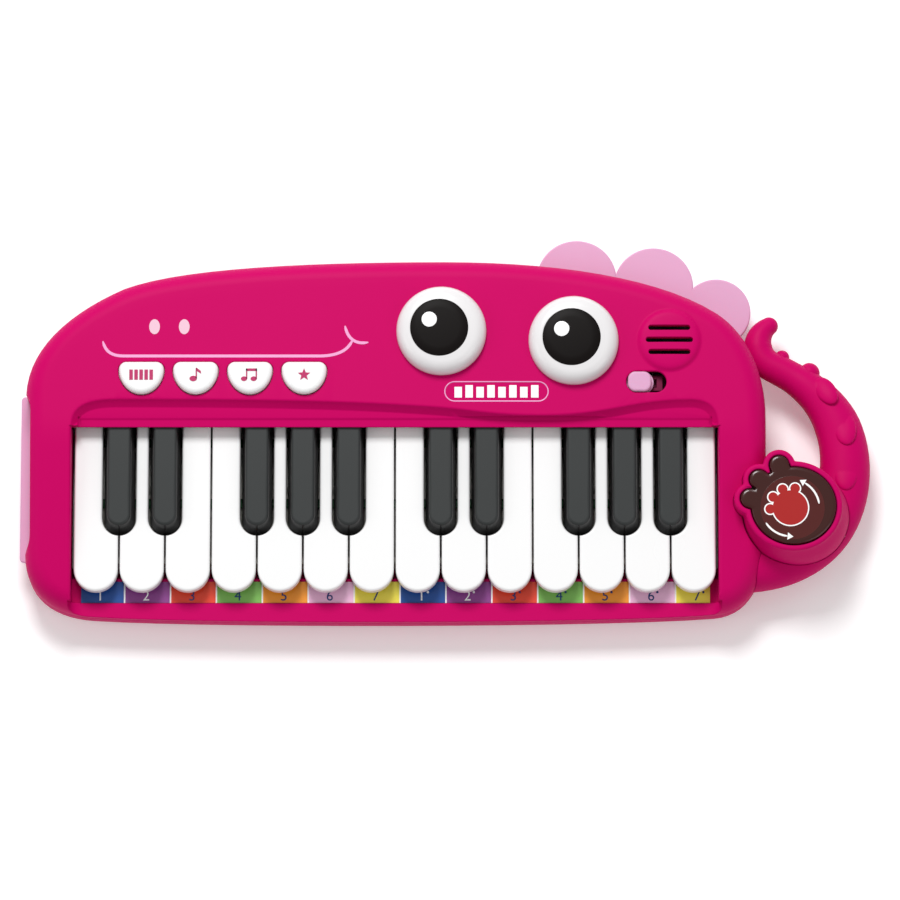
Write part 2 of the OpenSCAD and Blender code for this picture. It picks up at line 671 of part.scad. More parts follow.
module screw(r, head_r, head_h, length) {
    difference() {
        cylinder(r = head_r, h = head_h);
        for (a = [0, 90]) rotate([0, 0, a])
            translate([-head_r * 0.6, -0.3, -0.1]) cube([head_r * 1.2, 0.6, 0.9]);
    }
    translate([0, 0, head_h - 0.01]) cylinder(r = r, h = length);
}

module battery_door_screw() color("silver")
    translate([door_screw[0], door_screw[1], 2.4]) screw(1.2, 2.4, 1.6, 5);

module case_screws() color("silver")
    for (p = case_screw_at) translate([p[0], p[1], 7]) screw(1.3, 2.5, 2, 12);

module board_screws() color("silver") {
    for (p = board_posts) translate([p[0], p[1], board_z - 1.6]) screw(1, 2.2, 1.6, 5);
    for (p = chassis_posts) translate([p[0], p[1], 11.6]) mirror([0, 0, 1]) screw(1, 2.4, 1.6, 5);
}

module feet() color("#242424") for (p = feet_at) translate([p[0], p[1], 0]) cylinder(r = 5.5, h = foot_h);

// A wire along hand-placed points, rounded off by sampling a curve through their midpoints.
wire_routes = [
    [[-78, 57, 15], [-82, 57, 15], [-84, 50, 19], [-84, 42, 24], [-80, 36, 28]],
    [[-78, 42, 15], [-81, 42, 15], [-82, 38, 18], [-80, 33, 22], [-76, 30, 28]],
    [[85, 42, 29], [70, 44, 29], [30, 44, 30], [-20, 36, 31], [-42, 28, 31.6], [-52, 27, 31.4]],
    [[147, -38, 22.4], [142, -30, 22.4], [134, -30, 23], [129.2, -26, 24], [129.2, 6, 24], [129, 14, 28.8],
     [125, 21, 29.6], [112, 25.2, 29.6], [60, 25.6, 29.6], [-30, 25, 29.8], [-42, 23, 31.6], [-52, 22, 31.4]]
];
wire_r = 0.7;
function mid(a, b) = (a + b) / 2;
function quad(a, b, c, t) = (1 - t) * (1 - t) * a + 2 * t * (1 - t) * b + t * t * c;
function wire_line(p) = concat([p[0]],
    [for (i = [1:len(p) - 2]) each [for (t = [0, 0.33, 0.67])
        quad(i == 1 ? p[0] : mid(p[i - 1], p[i]), p[i],
            i == len(p) - 2 ? p[i + 1] : mid(p[i], p[i + 1]), t + 0.02)]],
    [p[len(p) - 1]]);

module wire(route) {
    line = wire_line(route);
    n = len(line);
    sides = 8;
    pts = [for (i = [0:n - 1])
        let (d = unit(line[min(i + 1, n - 1)] - line[max(i - 1, 0)]),
             u = unit(cross(d, abs(d[2]) > 0.9 ? [0, 1, 0] : [0, 0, 1])), v = cross(d, u))
        for (k = [0:sides - 1]) line[i] + wire_r * (cos(360 * k / sides) * u + sin(360 * k / sides) * v)];
    faces = [for (i = [0:n - 2]) for (k = [0:sides - 1])
        let (a = i * sides + k, b = i * sides + (k + 1) % sides)
        each [[a, b, b + sides], [a, b + sides, a + sides]]];
    polyhedron(points = pts, faces = concat(faces, [[for (k = [sides - 1:-1:0]) k]],
        [[for (k = [0:sides - 1]) (n - 1) * sides + k]]));
}

module wires() color("#c03020") for (r = wire_routes) wire(r);

top_shell();
bottom_shell();
tail_upper();
tail_lower();
paw_bezel();
dorsal_crest();
left_trim();
battery_door();
battery_door_screw();
batteries();
battery_contacts();
eye(eyes[0]);  // eye_left
eye(eyes[1]);  // eye_right
pupils();
button_pad();
power_switch_cap();
slide_switch();
paw_button();
paw_insert();
paw_board();
speaker_frame();
speaker_cone();
key_chassis();
key_pivot_rod();
key_contact_board();
key_rubber_strip();
main_board();
number_strip();
case_screws();
board_screws();
feet();
wires();
for (i = [0:13]) white_key(i);
for (i = [0:9]) black_key(i);
for (i = [0:3]) sound_button(i);
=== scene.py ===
"""Looks for the toy keyboard: shells, keys, face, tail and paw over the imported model, in millimetres."""
import math

import bmesh
import bpy
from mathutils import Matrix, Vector


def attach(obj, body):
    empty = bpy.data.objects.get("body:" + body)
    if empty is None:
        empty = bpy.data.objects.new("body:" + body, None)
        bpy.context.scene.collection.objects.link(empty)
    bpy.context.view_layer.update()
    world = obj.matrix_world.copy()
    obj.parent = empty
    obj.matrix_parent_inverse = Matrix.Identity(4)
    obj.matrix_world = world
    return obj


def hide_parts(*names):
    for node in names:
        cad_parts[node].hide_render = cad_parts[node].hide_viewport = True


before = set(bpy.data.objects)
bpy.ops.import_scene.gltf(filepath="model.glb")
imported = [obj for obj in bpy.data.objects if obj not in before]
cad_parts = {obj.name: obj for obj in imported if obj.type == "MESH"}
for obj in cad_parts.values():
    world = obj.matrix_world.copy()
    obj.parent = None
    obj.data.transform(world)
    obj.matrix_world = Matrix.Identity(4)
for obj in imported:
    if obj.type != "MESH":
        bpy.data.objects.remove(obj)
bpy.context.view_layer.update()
MM = 0.001

# ---- Sizes, as in part.scad ----
# The white keys' pitch and gap, and the key well's left, right, front and back
PITCH, GAP = 21.0, 0.9
KEYS_X0 = -7 * PITCH - 23.15
KEYS_X1 = KEYS_X0 + 14 * PITCH
WELL = (KEYS_X0 - 0.85, KEYS_X1 + 0.85, -81.6, -2.5)
# Heights and widths of the keys; a row is the line of the plungers over the rubber domes
WHITE_Z, SKIRT, WHITE_ROW = 27.0, 5.8, -28.0
BLACK_Z, BLACK_FOOT, BLACK_W, BLACK_TOP_W, BLACK_ROW = 32.0, 22.0, 14.0, 10.4, -12.0
# How far a black key's front leans back, how deep its top is sunk, and where that begins
BLACK_SLOPE, BLACK_DIP, BLACK_DIP_Y = 3.6, 0.55, -33
KEY_TIP, BLACK_TIP, KEY_BACK = -77.3, -50.9, 24.0
# The rod's place in y and z, and the hubs on it
PIVOT = (20.0, 17.0)
HUB_R, HUB_HALF, BORE_R = 4, 2, 1.3
# The notch in a white key, and the edges between white keys that carry a black one
NOTCH_R = BLACK_W / 2 + 0.7
BLACK_EDGES = [1, 2, 4, 5, 6, 8, 9, 11, 12, 13]
# The case: levels, wall, and the radii of its edges
TOP_Z, FRONT_Z, PART_Z, FOOT_H, WALL, EDGE_R = 38.0, 27.0, 14.0, 2.0, 2.2, 9.0
LEDGE_Z, LIP_Z, STEP_Z = 16.4, 18.0, 34.5
LOWER_R, WELL_EDGE_R, LIP_R = 5, 1.4, 7.0
# Heights that cutters reach, clear of the shells
OVER, FAR_OVER = 50, 60
# Where the top face starts to fall, how softly, and the ridge that the top's loops close on
CREASE_Y, CREASE_SOFT, RIDGE = -5.0, 5.0, (-110, 66)
# The groove along the parting line, and the ledge behind the keys with its lower second step
SEAM = 0.45
LEDGE_FALL, LEDGE_LEVEL_Y = 0.12, 3
LOWER_LEDGE = [(-167.4, -8), (121.2, -8), (121.2, 1.4), (-167.4, 1.4)]
BUTTON_C, BUTTON_PITCH, BUTTON_W, BUTTON_D, BUTTON_Z = (-139.0, 11.8), 24.8, 20.6, 15.0, 41.0
SWITCH, SWITCH_TRAVEL = (88.7, 17.8), 6.3
EYES, EYE_R, PUPIL_R = [(-1.9, 41.3), (58.6, 36.9)], 20.6, 13.3
SPEAKER = (102.4, 37.1)
# (radius, height) pairs
SPEAKER_DOME = [
    (15.2, 36), (15.2, 38), (14.8, 38.06), (14.3, 38.3), (13.8, 38.7),
    (13.2, 39.15), (12.4, 39.5), (11, 39.75), (8, 39.95), (0.5, 40.1),
]
# The paw: its pad and toes, the round pod below it, and its levels
PAD_C, PAD_R = (158.4, -40.4), 18.2
TOES, TOE_R = [(152, -21.7), (142.8, -28.3), (138.7, -37.1)], 4.8
POD_C, POD_R, RIM_W, PAW_Z, PAN_Z = (160.0, -42.5), 22.5, 2.6, 41.0, 7.0
TAIL_Z = 16.0
# Outlines and lines as chains of cubic curves
BODY = [
    [(-192.2, 13), (-191.7, 34), (-174, 51), (-147.7, 62.8)],
    [(-147.7, 62.8), (-121.4, 73), (-60, 75.5), (0, 75.5)],
    [(0, 75.5), (50, 75.5), (98, 68.5), (124.4, 51.4)],
    [(124.4, 51.4), (138, 42.6), (147, 24), (146.6, 2)],
    [(146.6, 2), (146.6, -16), (146.6, -33), (146.6, -50)],
    [(146.6, -50), (146.6, -70), (140, -85.6), (123, -87)],
    [(123, -87), (70, -91.1), (-110, -91.3), (-161, -88)],
    [(-161, -88), (-180, -86.8), (-192.2, -77.5), (-192.2, -60)],
    [(-192.2, -60), (-192.2, -36), (-192.2, -12), (-192.2, 13)],
]
STEP = [
    [(-171, -3), (-171, 6), (-165, 9.6), (-150, 9.6)],
    [(-150, 9.6), (-80, 9.6), (-40, 8.5), (-5, 6)],
    [(-5, 6), (12, 4.8), (20, 2.2), (44, 2.2)],
    [(44, 2.2), (75, 2.2), (85, 9.5), (112, 9.5)],
    [(112, 9.5), (121, 9.5), (124.7, 5), (124.7, -3)],
]
TAIL = [
    [(136, -62), (164, -62), (183.5, -46), (183.5, -17)],
    [(183.5, -17), (183.5, 13), (161.5, 23.5), (150.2, 29.3)],
    [(150.2, 29.3), (141.8, 33.6), (142.5, 44), (149.2, 48.3)],
]
# Half widths at even steps along the tail; bumps are x, y and radius, scales x, y, half width and turn
TAIL_W = [14.5, 13.8, 13, 12, 11.5, 10.6, 8.7, 7.2, 6.9, 6.8, 6.6, 5.6, 4.2]
TAIL_BUMPS = [(155.1, 33.5, 3.4), (167.6, 26.2, 4.8)]
TAIL_SCALES = [(174.6, 16.4, 4.6, -58), (183.3, -1.0, 5.2, -85), (183.5, -21.8, 5.4, -95)]
# The recess for the bar on the left edge
TRIM_BACK = -189.8
TRIM_RECESS = [
    (-220, -62), (-192.5, -61), (-190.5, -56), (-190, -54), (TRIM_BACK, -51),
    (TRIM_BACK, 5), (-190, 8), (-190.5, 10), (-192.5, 14), (-220, 15),
]
# The crest's circles
LOBES = [(60.6, 70.35, 18.4), (96.1, 67, 18.3), (125, 54.7, 15.8)]
# The battery bay's left, right, front and back, and its door
BAY = (-74.3, 34.3, 32.3, 66.9)
DOOR_END, DOOR_SCREW, DOOR_H = 44.0, (38.9, 49.6), 2.0
CASE_SCREWS = [(-181, -66), (-181, 5), (-148, 46), (-88, 62), (52, 62), (127, 29), (137, 2), (133, -76)]
# The number strip's left, right, front and back
STRIP = (-166.7, 121.0, WELL[2] + 0.4, -71.4)
MOUTH = [
    [(-156.8, 36.6), (-155.6, 31.6), (-152.6, 29.7), (-147, 29.7)],
    [(-147, 29.7), (-120, 29.7), (-85, 29.7), (-57, 29.7)],
    [(-57, 29.7), (-49, 29.9), (-44.5, 32.4), (-42.5, 37.3)],
]
CHEEK = [[(-46, 43.8), (-45, 38.2), (-41.5, 34.8), (-35.3, 36.1)]]
NOSTRILS, BADGE_C = [(-133.2, 43.4), (-119.6, 43.4)], (23.3, 13.2)

# ---- Fineness ----
# Degrees above which an edge stays sharp, steps along each curve, and how proud a print stands
SHARP = 38
BODY_STEPS, STEP_STEPS, TAIL_STEPS, PAW_STEPS = 14, 12, 22, 220
INLAY = 0.12


# ---- Curves and outlines ----
def cosd(a):
    return math.cos(math.radians(a))


def sind(a):
    return math.sin(math.radians(a))


def turns(n):
    """The start angles of n even steps round a circle, in radians."""
    return [2 * math.pi * i / n for i in range(n)]


def quarter(n):
    """Angles from 0 to 90 degrees in n even steps, both ends included."""
    return [90 * i / n for i in range(n + 1)]


def bez(s, t):
    """The point at t on a cubic curve with four control points."""
    u = 1 - t
    return tuple(
        u**3 * s[0][k] + 3 * t * u * u * s[1][k] + 3 * t * t * u * s[2][k] + t**3 * s[3][k]
        for k in (0, 1)
    )


def trace(path, n, close=True):
    pts = [bez(s, i / n) for s in path for i in range(n)]
    return pts if close else pts + [path[-1][3]]


def area(pts):
    return sum(a[0] * b[1] - b[0] * a[1] for a, b in zip(pts, pts[1:] + pts[:1], strict=True)) / 2


def ccw(pts):
    return pts if area(pts) > 0 else pts[::-1]


def grow(pts, d):
    """A counter-clockwise outline moved outwards by d along its mitred normals."""
    out, n = [], len(pts)
    for i, p in enumerate(pts):
        a, b = Vector(pts[i - 1]), Vector(pts[(i + 1) % n])
        e, f = (Vector(p) - a).normalized(), (b - Vector(p)).normalized()
        m = Vector((e.y, -e.x)) + Vector((f.y, -f.x))
        m = m / max(m.length_squared / 2, 0.5)
        out.append((p[0] + m.x * d, p[1] + m.y * d))
    return out


def arc(cx, cy, r, a0, a1, n, ry=None):
    """Points from angle a0 to a1, both ends included; ry is the half height where it isn't r."""
    ry = r if ry is None else ry
    angles = [a0 + (a1 - a0) * i / n for i in range(n + 1)]
    return [(cx + r * cosd(a), cy + ry * sind(a)) for a in angles]


def circle(cx, cy, r, n=96, ry=None):
    return arc(cx, cy, r, 0, 360, n, ry)[:-1]


def stadium(cx, cy, length, width, n=20):
    h = (length - width) / 2
    return arc(cx + h, cy, width / 2, -90, 90, n) + arc(cx - h, cy, width / 2, 90, 270, n)


def rect(x0, x1, y0, y1):
    return [(x0, y0), (x1, y0), (x1, y1), (x0, y1)]


def smooth(t):
    t = min(max(t, 0.0), 1.0)
    return t * t * (3 - 2 * t)


def roof(y):
    """The height of the top face: level behind the keys, falling along the cheeks."""
    slope = (TOP_Z - FRONT_Z) / (CREASE_Y + 86)
    d = CREASE_Y - y
    if d <= -CREASE_SOFT:
        return TOP_Z
    return TOP_Z - slope * (d if d >= CREASE_SOFT else (d + CREASE_SOFT) ** 2 / (4 * CREASE_SOFT))


# ---- Meshes ----
def evaluated(o):
    """A new mesh of the object with its modifiers applied."""
    return bpy.data.meshes.new_from_object(o.evaluated_get(bpy.context.evaluated_depsgraph_get()))


def make(name, verts, faces, mat, sharp):
    me = bpy.data.meshes.new(name)
    me.from_pydata([(x * MM, y * MM, z * MM) for x, y, z in verts], [], faces)
    o = bpy.data.objects.new(name, me)
    bpy.context.scene.collection.objects.link(o)
    tidy(o, sharp)
    if mat:
        me.materials.append(mat)
    return o


def tidy(o, sharp=SHARP):
    """Outward normals and smooth faces, with edges above an angle kept sharp."""
    bm = bmesh.new()
    bm.from_mesh(o.data)
    bmesh.ops.remove_doubles(bm, verts=bm.verts, dist=1e-7)
    bmesh.ops.recalc_face_normals(bm, faces=bm.faces)
    for f in bm.faces:
        f.smooth = True
    for e in bm.edges:
        e.smooth = len(e.link_faces) == 2 and e.calc_face_angle(0) < math.radians(sharp)
    bm.to_mesh(o.data)
    bm.free()


def loft(name, loops, mat, sharp=SHARP):
    """A closed solid through loops of equal length, with a flat face at each end."""
    n, last = len(loops[0]), len(loops) - 1
    verts = [p for ring in loops for p in ring]
    faces = [
        (j * n + i, j * n + (i + 1) % n, (j + 1) * n + (i + 1) % n, (j + 1) * n + i)
        for j in range(last)
        for i in range(n)
    ]
    faces += [tuple(range(n))[::-1], tuple(last * n + i for i in range(n))]
    return make(name, verts, faces, mat, sharp)


def prism(name, pts, profile, mat=None, sharp=SHARP):
    """Loops of an outline, each grown by and raised to one (growth, height) pair of the profile."""
    pts = ccw(pts)
    return loft(name, [[(x, y, z) for x, y in grow(pts, g)] for g, z in profile], mat, sharp)


def box(name, x0, x1, y0, y1, z0, z1, mat=None):
    return prism(name, rect(x0, x1, y0, y1), [(0, z0), (0, z1)], mat)


def rounded(r, z0, z1, n):
    """A profile with a rounded upper edge."""
    return [(0, z0)] + [(-r * (1 - cosd(a)), z1 - r + r * sind(a)) for a in quarter(n)]


def flared(r, z0, z1):
    """A cutter's profile that leaves a rounded edge where it meets a face at z1."""
    curve = [(r * (1 - cosd(a)), z1 - r + r * sind(a)) for a in quarter(5)]
    return [(0, z0), *curve, (r, z1 + 6.0)]


def revolve(name, cx, cy, profile, mat, n=96):
    """A solid of (radius, height) pairs turned round an upright line."""
    loops = [[(cx + r * math.cos(a), cy + r * math.sin(a), z) for a in turns(n)] for r, z in profile]
    return loft(name, loops, mat)


def boolean(o, cutters, op="DIFFERENCE"):
    """Cuts with or adds one solid, or each of a list. They are used up; the object keeps its own material."""
    for c in cutters if isinstance(cutters, list) else [cutters]:
        m = o.modifiers.new("cut", "BOOLEAN")
        m.operation, m.object, m.solver = op, c, "EXACT"
        if "MANIFOLD" in type(m).bl_rna.properties["solver"].enum_items.keys():
            m.solver = "MANIFOLD"
        me = evaluated(o)
        if m.solver == "MANIFOLD" and not me.polygons:
            m.solver = "EXACT"
            me = evaluated(o)
        o.modifiers.remove(m)
        mats = [x for x in o.data.materials if x]
        me.materials.clear()
        for x in mats[:1]:
            me.materials.append(x)
        for f in me.polygons:
            f.material_index = 0
        old, o.data = o.data, me
        bpy.data.meshes.remove(old)
        bpy.data.objects.remove(c)
    return o


def finish_cut(o, sharp=32):
    tidy(o, sharp)
    w = o.modifiers.new("normals", "WEIGHTED_NORMAL")
    w.keep_sharp = True
    w.weight = 80
    return o


def join(name, objs):
    """One object of several, each face keeping its material."""
    base = objs[0]
    bm = bmesh.new()
    mats = []
    for o in objs:
        start = len(bm.faces)
        bm.from_mesh(o.data)
        bm.faces.ensure_lookup_table()
        for f in bm.faces[start:]:
            m = o.data.materials[f.material_index] if o.data.materials else None
            if m not in mats:
                mats.append(m)
            f.material_index = mats.index(m)
    me = bpy.data.meshes.new(name)
    bm.to_mesh(me)
    bm.free()
    for m in mats:
        if m:
            me.materials.append(m)
    base.data = me
    base.name = name
    for o in objs[1:]:
        bpy.data.objects.remove(o)
    return base


def stands_for(o, body, node):
    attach(o, body)
    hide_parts(node)


# ---- Materials ----
def srgb(h):
    v = [int(h[i : i + 2], 16) / 255 for i in (1, 3, 5)]
    return tuple(c / 12.92 if c <= 0.04045 else ((c + 0.055) / 1.055) ** 2.4 for c in v) + (1.0,)


def plastic(name, hexa, rough=0.3, coat=0.0, grain=0.02, bevel=0.5, metal=0.0, sub=0.0, vary=0.06, spec=0.5):
    """Moulded plastic: an edge rounded in the shading, a fine grain and a slightly uneven gloss."""
    m = bpy.data.materials.new(name)
    m.use_nodes = True
    t = m.node_tree
    b = t.nodes["Principled BSDF"]
    fixed = {"Base Color": srgb(hexa), "Metallic": metal, "Coat Weight": coat, "Coat Roughness": 0.12}
    fixed["Specular IOR Level"] = spec
    if sub:
        fixed |= {"Subsurface Weight": sub, "Subsurface Radius": (1.0, 0.35, 0.5), "Subsurface Scale": 0.003}
    for key, value in fixed.items():
        b.inputs[key].default_value = value
    co = t.nodes.new("ShaderNodeTexCoord")
    n = t.nodes.new("ShaderNodeTexNoise")
    n.inputs["Scale"].default_value = 14.0
    n.inputs["Detail"].default_value = 3.0
    t.links.new(co.outputs["Object"], n.inputs["Vector"])
    r = t.nodes.new("ShaderNodeMapRange")
    r.inputs["To Min"].default_value = max(rough - vary, 0.02)
    r.inputs["To Max"].default_value = rough + vary
    t.links.new(n.outputs["Fac"], r.inputs["Value"])
    t.links.new(r.outputs["Result"], b.inputs["Roughness"])
    fine = t.nodes.new("ShaderNodeTexNoise")
    fine.inputs["Scale"].default_value = 1600.0
    t.links.new(co.outputs["Object"], fine.inputs["Vector"])
    bump = t.nodes.new("ShaderNodeBump")
    bump.inputs["Strength"].default_value = grain
    bump.inputs["Distance"].default_value = 0.0004
    t.links.new(fine.outputs["Fac"], bump.inputs["Height"])
    if bevel:
        bv = t.nodes.new("ShaderNodeBevel")
        bv.samples = 4
        bv.inputs["Radius"].default_value = bevel * MM
        t.links.new(bv.outputs["Normal"], bump.inputs["Normal"])
    t.links.new(bump.outputs["Normal"], b.inputs["Normal"])
    return m


def ink(name, hexa, rough, coat=0.0, spec=0.5):
    """A print: no grain and no rounded edge."""
    return plastic(name, hexa, rough, coat, 0.0, 0.0, spec=spec)


PINK = plastic("pink_plastic", "#C3005F", 0.5, 0.0, 0.03, 0.6, spec=0.06)
PALE = plastic("pale_plastic", "#D8A3C5", 0.4, 0.0, 0.02, 0.4, sub=0.1, spec=0.25)
WHITE = plastic("white_plastic", "#F4F4F4", 0.25, 0.15, 0.0, 0.4)
EYE = plastic("eye_plastic", "#E2E0E1", 0.25, 0.2, 0.0, 0.0, spec=0.4)
BLACK = plastic("black_plastic", "#2D3030", 0.45, 0.0, 0.04, 0.4, spec=0.35)
# Painted shade: the black keys' sides are much darker than their tops to stand in for shade; only their lower
# roughness is the plastic's own.
BLACK_SHADED_SIDES = plastic("black_plastic_painted_side_shade", "#0A0A0A", 0.25, 0.0, 0.0, 0.3, spec=0.3)
PUPIL = plastic("pupil_plastic", "#0C0706", 0.5, 0.0, 0.0, 0.0, spec=0.12)
INK_PALE = ink("pale_ink", "#E79CCB", 0.4)
INK_NOSE = ink("nostril_ink", "#E5B9CB", 0.4)
INK_PINK = ink("button_ink", "#B40A5A", 0.4)
INK_WHITE = ink("white_ink", "#FAFAFA", 0.35)
INK_BLUE = ink("blue_ink", "#123C78", 0.35)
LENS = plastic("smoked_lens", "#3A1511", 0.25, 0.25, 0.0, 0.3, vary=0.03, spec=0.3)
INK_RED = ink("red_ink", "#A81C1B", 0.35, 0.1, 0.3)
INK_BROWN = ink("brown_ink", "#4E1512", 0.3, 0.2, 0.3)
STEEL = plastic("steel", "#B9BBBD", 0.3, 0.0, 0.02, 0.2, metal=1.0)
GREEN = plastic("solder_mask", "#1C6035", 0.4, 0.3)
RUBBER = plastic("grey_rubber", "#C9C9C4", 0.7)
FOOT = plastic("black_rubber", "#1E1E1E", 0.8)
GREY = plastic("grey_plastic", "#C8C8C0", 0.5)
# Painted shade: the slide switch, seen down the switch slot, takes the colour of the case's pink plastic in
# shadow there.
SLOT_SHADE_PINK = plastic("dark_plastic", "#780A40", 0.5, spec=0.2)
CONE = plastic("cone_paper", "#1B1B1B", 0.85)
CELL = plastic("cell_wrap", "#2E7A48", 0.3, 0.4)
WIRE = plastic("wire_skin", "#B02A1E", 0.5)
TILE_COLOURS = ["#0F4C9A", "#8B3F8E", "#E8452A", "#7FBF5A", "#F39A2B", "#F0BFE0", "#F3E54F"]
TILES = [ink(f"tile_{i}", c, 0.35, 0.15) for i, c in enumerate(TILE_COLOURS)]


# ---- Case ----
def body_loops(inset, z0, seam=0.0):
    """The upper form's loops, from its lower edge over the rounded rim and in to a line along the middle."""
    base = ccw(trace(BODY, BODY_STEPS))
    loops = [[(x, y, z0) for x, y in grow(base, -inset - seam)]]
    loops.append([(x, y, z0 + max(seam, 0.1)) for x, y in grow(base, -inset)])
    for a in [0, 12, 24, 36, 48, 60, 70, 80, 90]:
        g = inset + EDGE_R * (1 - cosd(a))
        drop = inset + EDGE_R * (1 - sind(a))
        loops.append([(x, y, roof(y) - drop) for x, y in grow(base, -g)])
    edge = grow(base, -inset - EDGE_R)
    for t in (0.06, 0.14, 0.26, 0.42, 0.6, 0.8):
        ring = []
        for x, y in edge:
            ridge_x = min(max(x, RIDGE[0]), RIDGE[1])
            px, py = x + (ridge_x - x) * t, y + (CREASE_Y - y) * t
            ring.append((px, py, roof(py) - inset))
        loops.append(ring)
    return loops


def lower_loops(inset, z1, seam=0.0):
    """The lower form's loops, from its rounded bottom edge up to the parting line."""
    base = ccw(trace(BODY, BODY_STEPS))
    loops = []
    for a in [90, 75, 60, 45, 30, 15, 0]:
        g = inset + LOWER_R * (1 - cosd(a))
        loops.append([(x, y, FOOT_H + inset + LOWER_R * (1 - sind(a))) for x, y in grow(base, -g)])
    loops.append([(x, y, z1 - max(seam, 0.1)) for x, y in grow(base, -inset)])
    loops.append([(x, y, z1) for x, y in grow(base, -inset - seam)])
    return loops


def button_outline(g):
    """A half-moon button grown by g, with its flat side at the back."""
    r, w, y = 3.5, BUTTON_W / 2, BUTTON_D - 3.5
    pts = arc(w - r, y, r, 0, 90, 8) + arc(-w + r, y, r, 90, 180, 8)
    pts += [(w * cosd(a), y + y * sind(a)) for a in range(186, 356, 6)]
    return grow(ccw(pts), g)


def ray(theta, circles):
    """How far a ray from the pad's middle reaches in a union of ellipses, softened where two meet."""
    soft = 0.28
    d = (math.cos(theta), math.sin(theta))
    far = []
    for x, y, rx, ry in circles:
        ox, oy, dx, dy = (PAD_C[0] - x) / rx, (PAD_C[1] - y) / ry, d[0] / rx, d[1] / ry
        aa, bb, cc = dx * dx + dy * dy, ox * dx + oy * dy, ox * ox + oy * oy - 1
        disc = bb * bb - aa * cc
        if disc > 0:
            far.append((-bb + math.sqrt(disc)) / aa)
    top = max(far)
    return top + soft * math.log(sum(math.exp((f - top) / soft) for f in far if f > 0))


def blob(circles):
    """The outline of that union, all the way round."""
    out = []
    for a in turns(PAW_STEPS):
        reach = ray(a, circles)
        out.append((PAD_C[0] + reach * math.cos(a), PAD_C[1] + reach * math.sin(a)))
    return out


def paw_outline(g):
    """The paw-shaped lens, grown by g."""
    return blob([(*PAD_C, PAD_R * 1.08 + g, PAD_R + g)] + [(*t, TOE_R + g, TOE_R + g) for t in TOES])


def pod_outline(g):
    """The housing round the paw, grown by g."""
    circles = [(*PAD_C, PAD_R * 1.08 + RIM_W + g, PAD_R + RIM_W + g)]
    circles += [(*t, TOE_R + RIM_W + g, TOE_R + RIM_W + g) for t in TOES]
    return blob([*circles, (*POD_C, POD_R * 1.09 + g, POD_R + g)])


def well_cutter():
    """The key well, with a rounded edge that follows the falling cheeks."""
    x0, x1, y0, y1 = WELL
    ys = [y0 + (y1 - y0) * i / 24 for i in range(25)]
    path = [(x1, y) for y in ys] + [(x0, y) for y in reversed(ys)]
    loops = [[(x, y, -5) for x, y in path]]
    r = WELL_EDGE_R
    for a in [0, 22, 45, 68, 90]:
        g, d = r * (1 - cosd(a)), r * (1 - sind(a))
        loops.append([(x + (g if x > 0 else -g), y, roof(y) - d) for x, y in path])
    loops.append([(x + (r if x > 0 else -r), y, FAR_OVER) for x, y in path])
    return loft("well", loops, None)


def falling_cut(pts, profile):
    """A cutter whose floor falls towards the keys; its upper rim stays level."""
    loops = []
    for g, z in profile:
        fall = LEDGE_FALL if z < TOP_Z - 2 else 0.0
        loops.append([(x, y, z + fall * (y - LEDGE_LEVEL_Y)) for x, y in grow(ccw(pts), g)])
    return loft("step", loops, None)


def lip_cutter():
    """Lowers the front lip below the cheeks, with a hollow fillet up to each of them."""
    x0, x1 = WELL[0] - WELL_EDGE_R, WELL[1] + WELL_EDGE_R
    fillet = [(x0 + LIP_R * (1 - cosd(a)), LIP_Z + LIP_R * (1 - sind(a))) for a in range(0, 91, 10)]
    mirrored = [(x0 + x1 - x, z) for x, z in reversed(fillet)]
    path = [(x0, FAR_OVER), *fillet, *mirrored, (x1, FAR_OVER)]
    return loft("lip", [[(x, y, z) for x, z in path] for y in (-95, -81.5)], None)


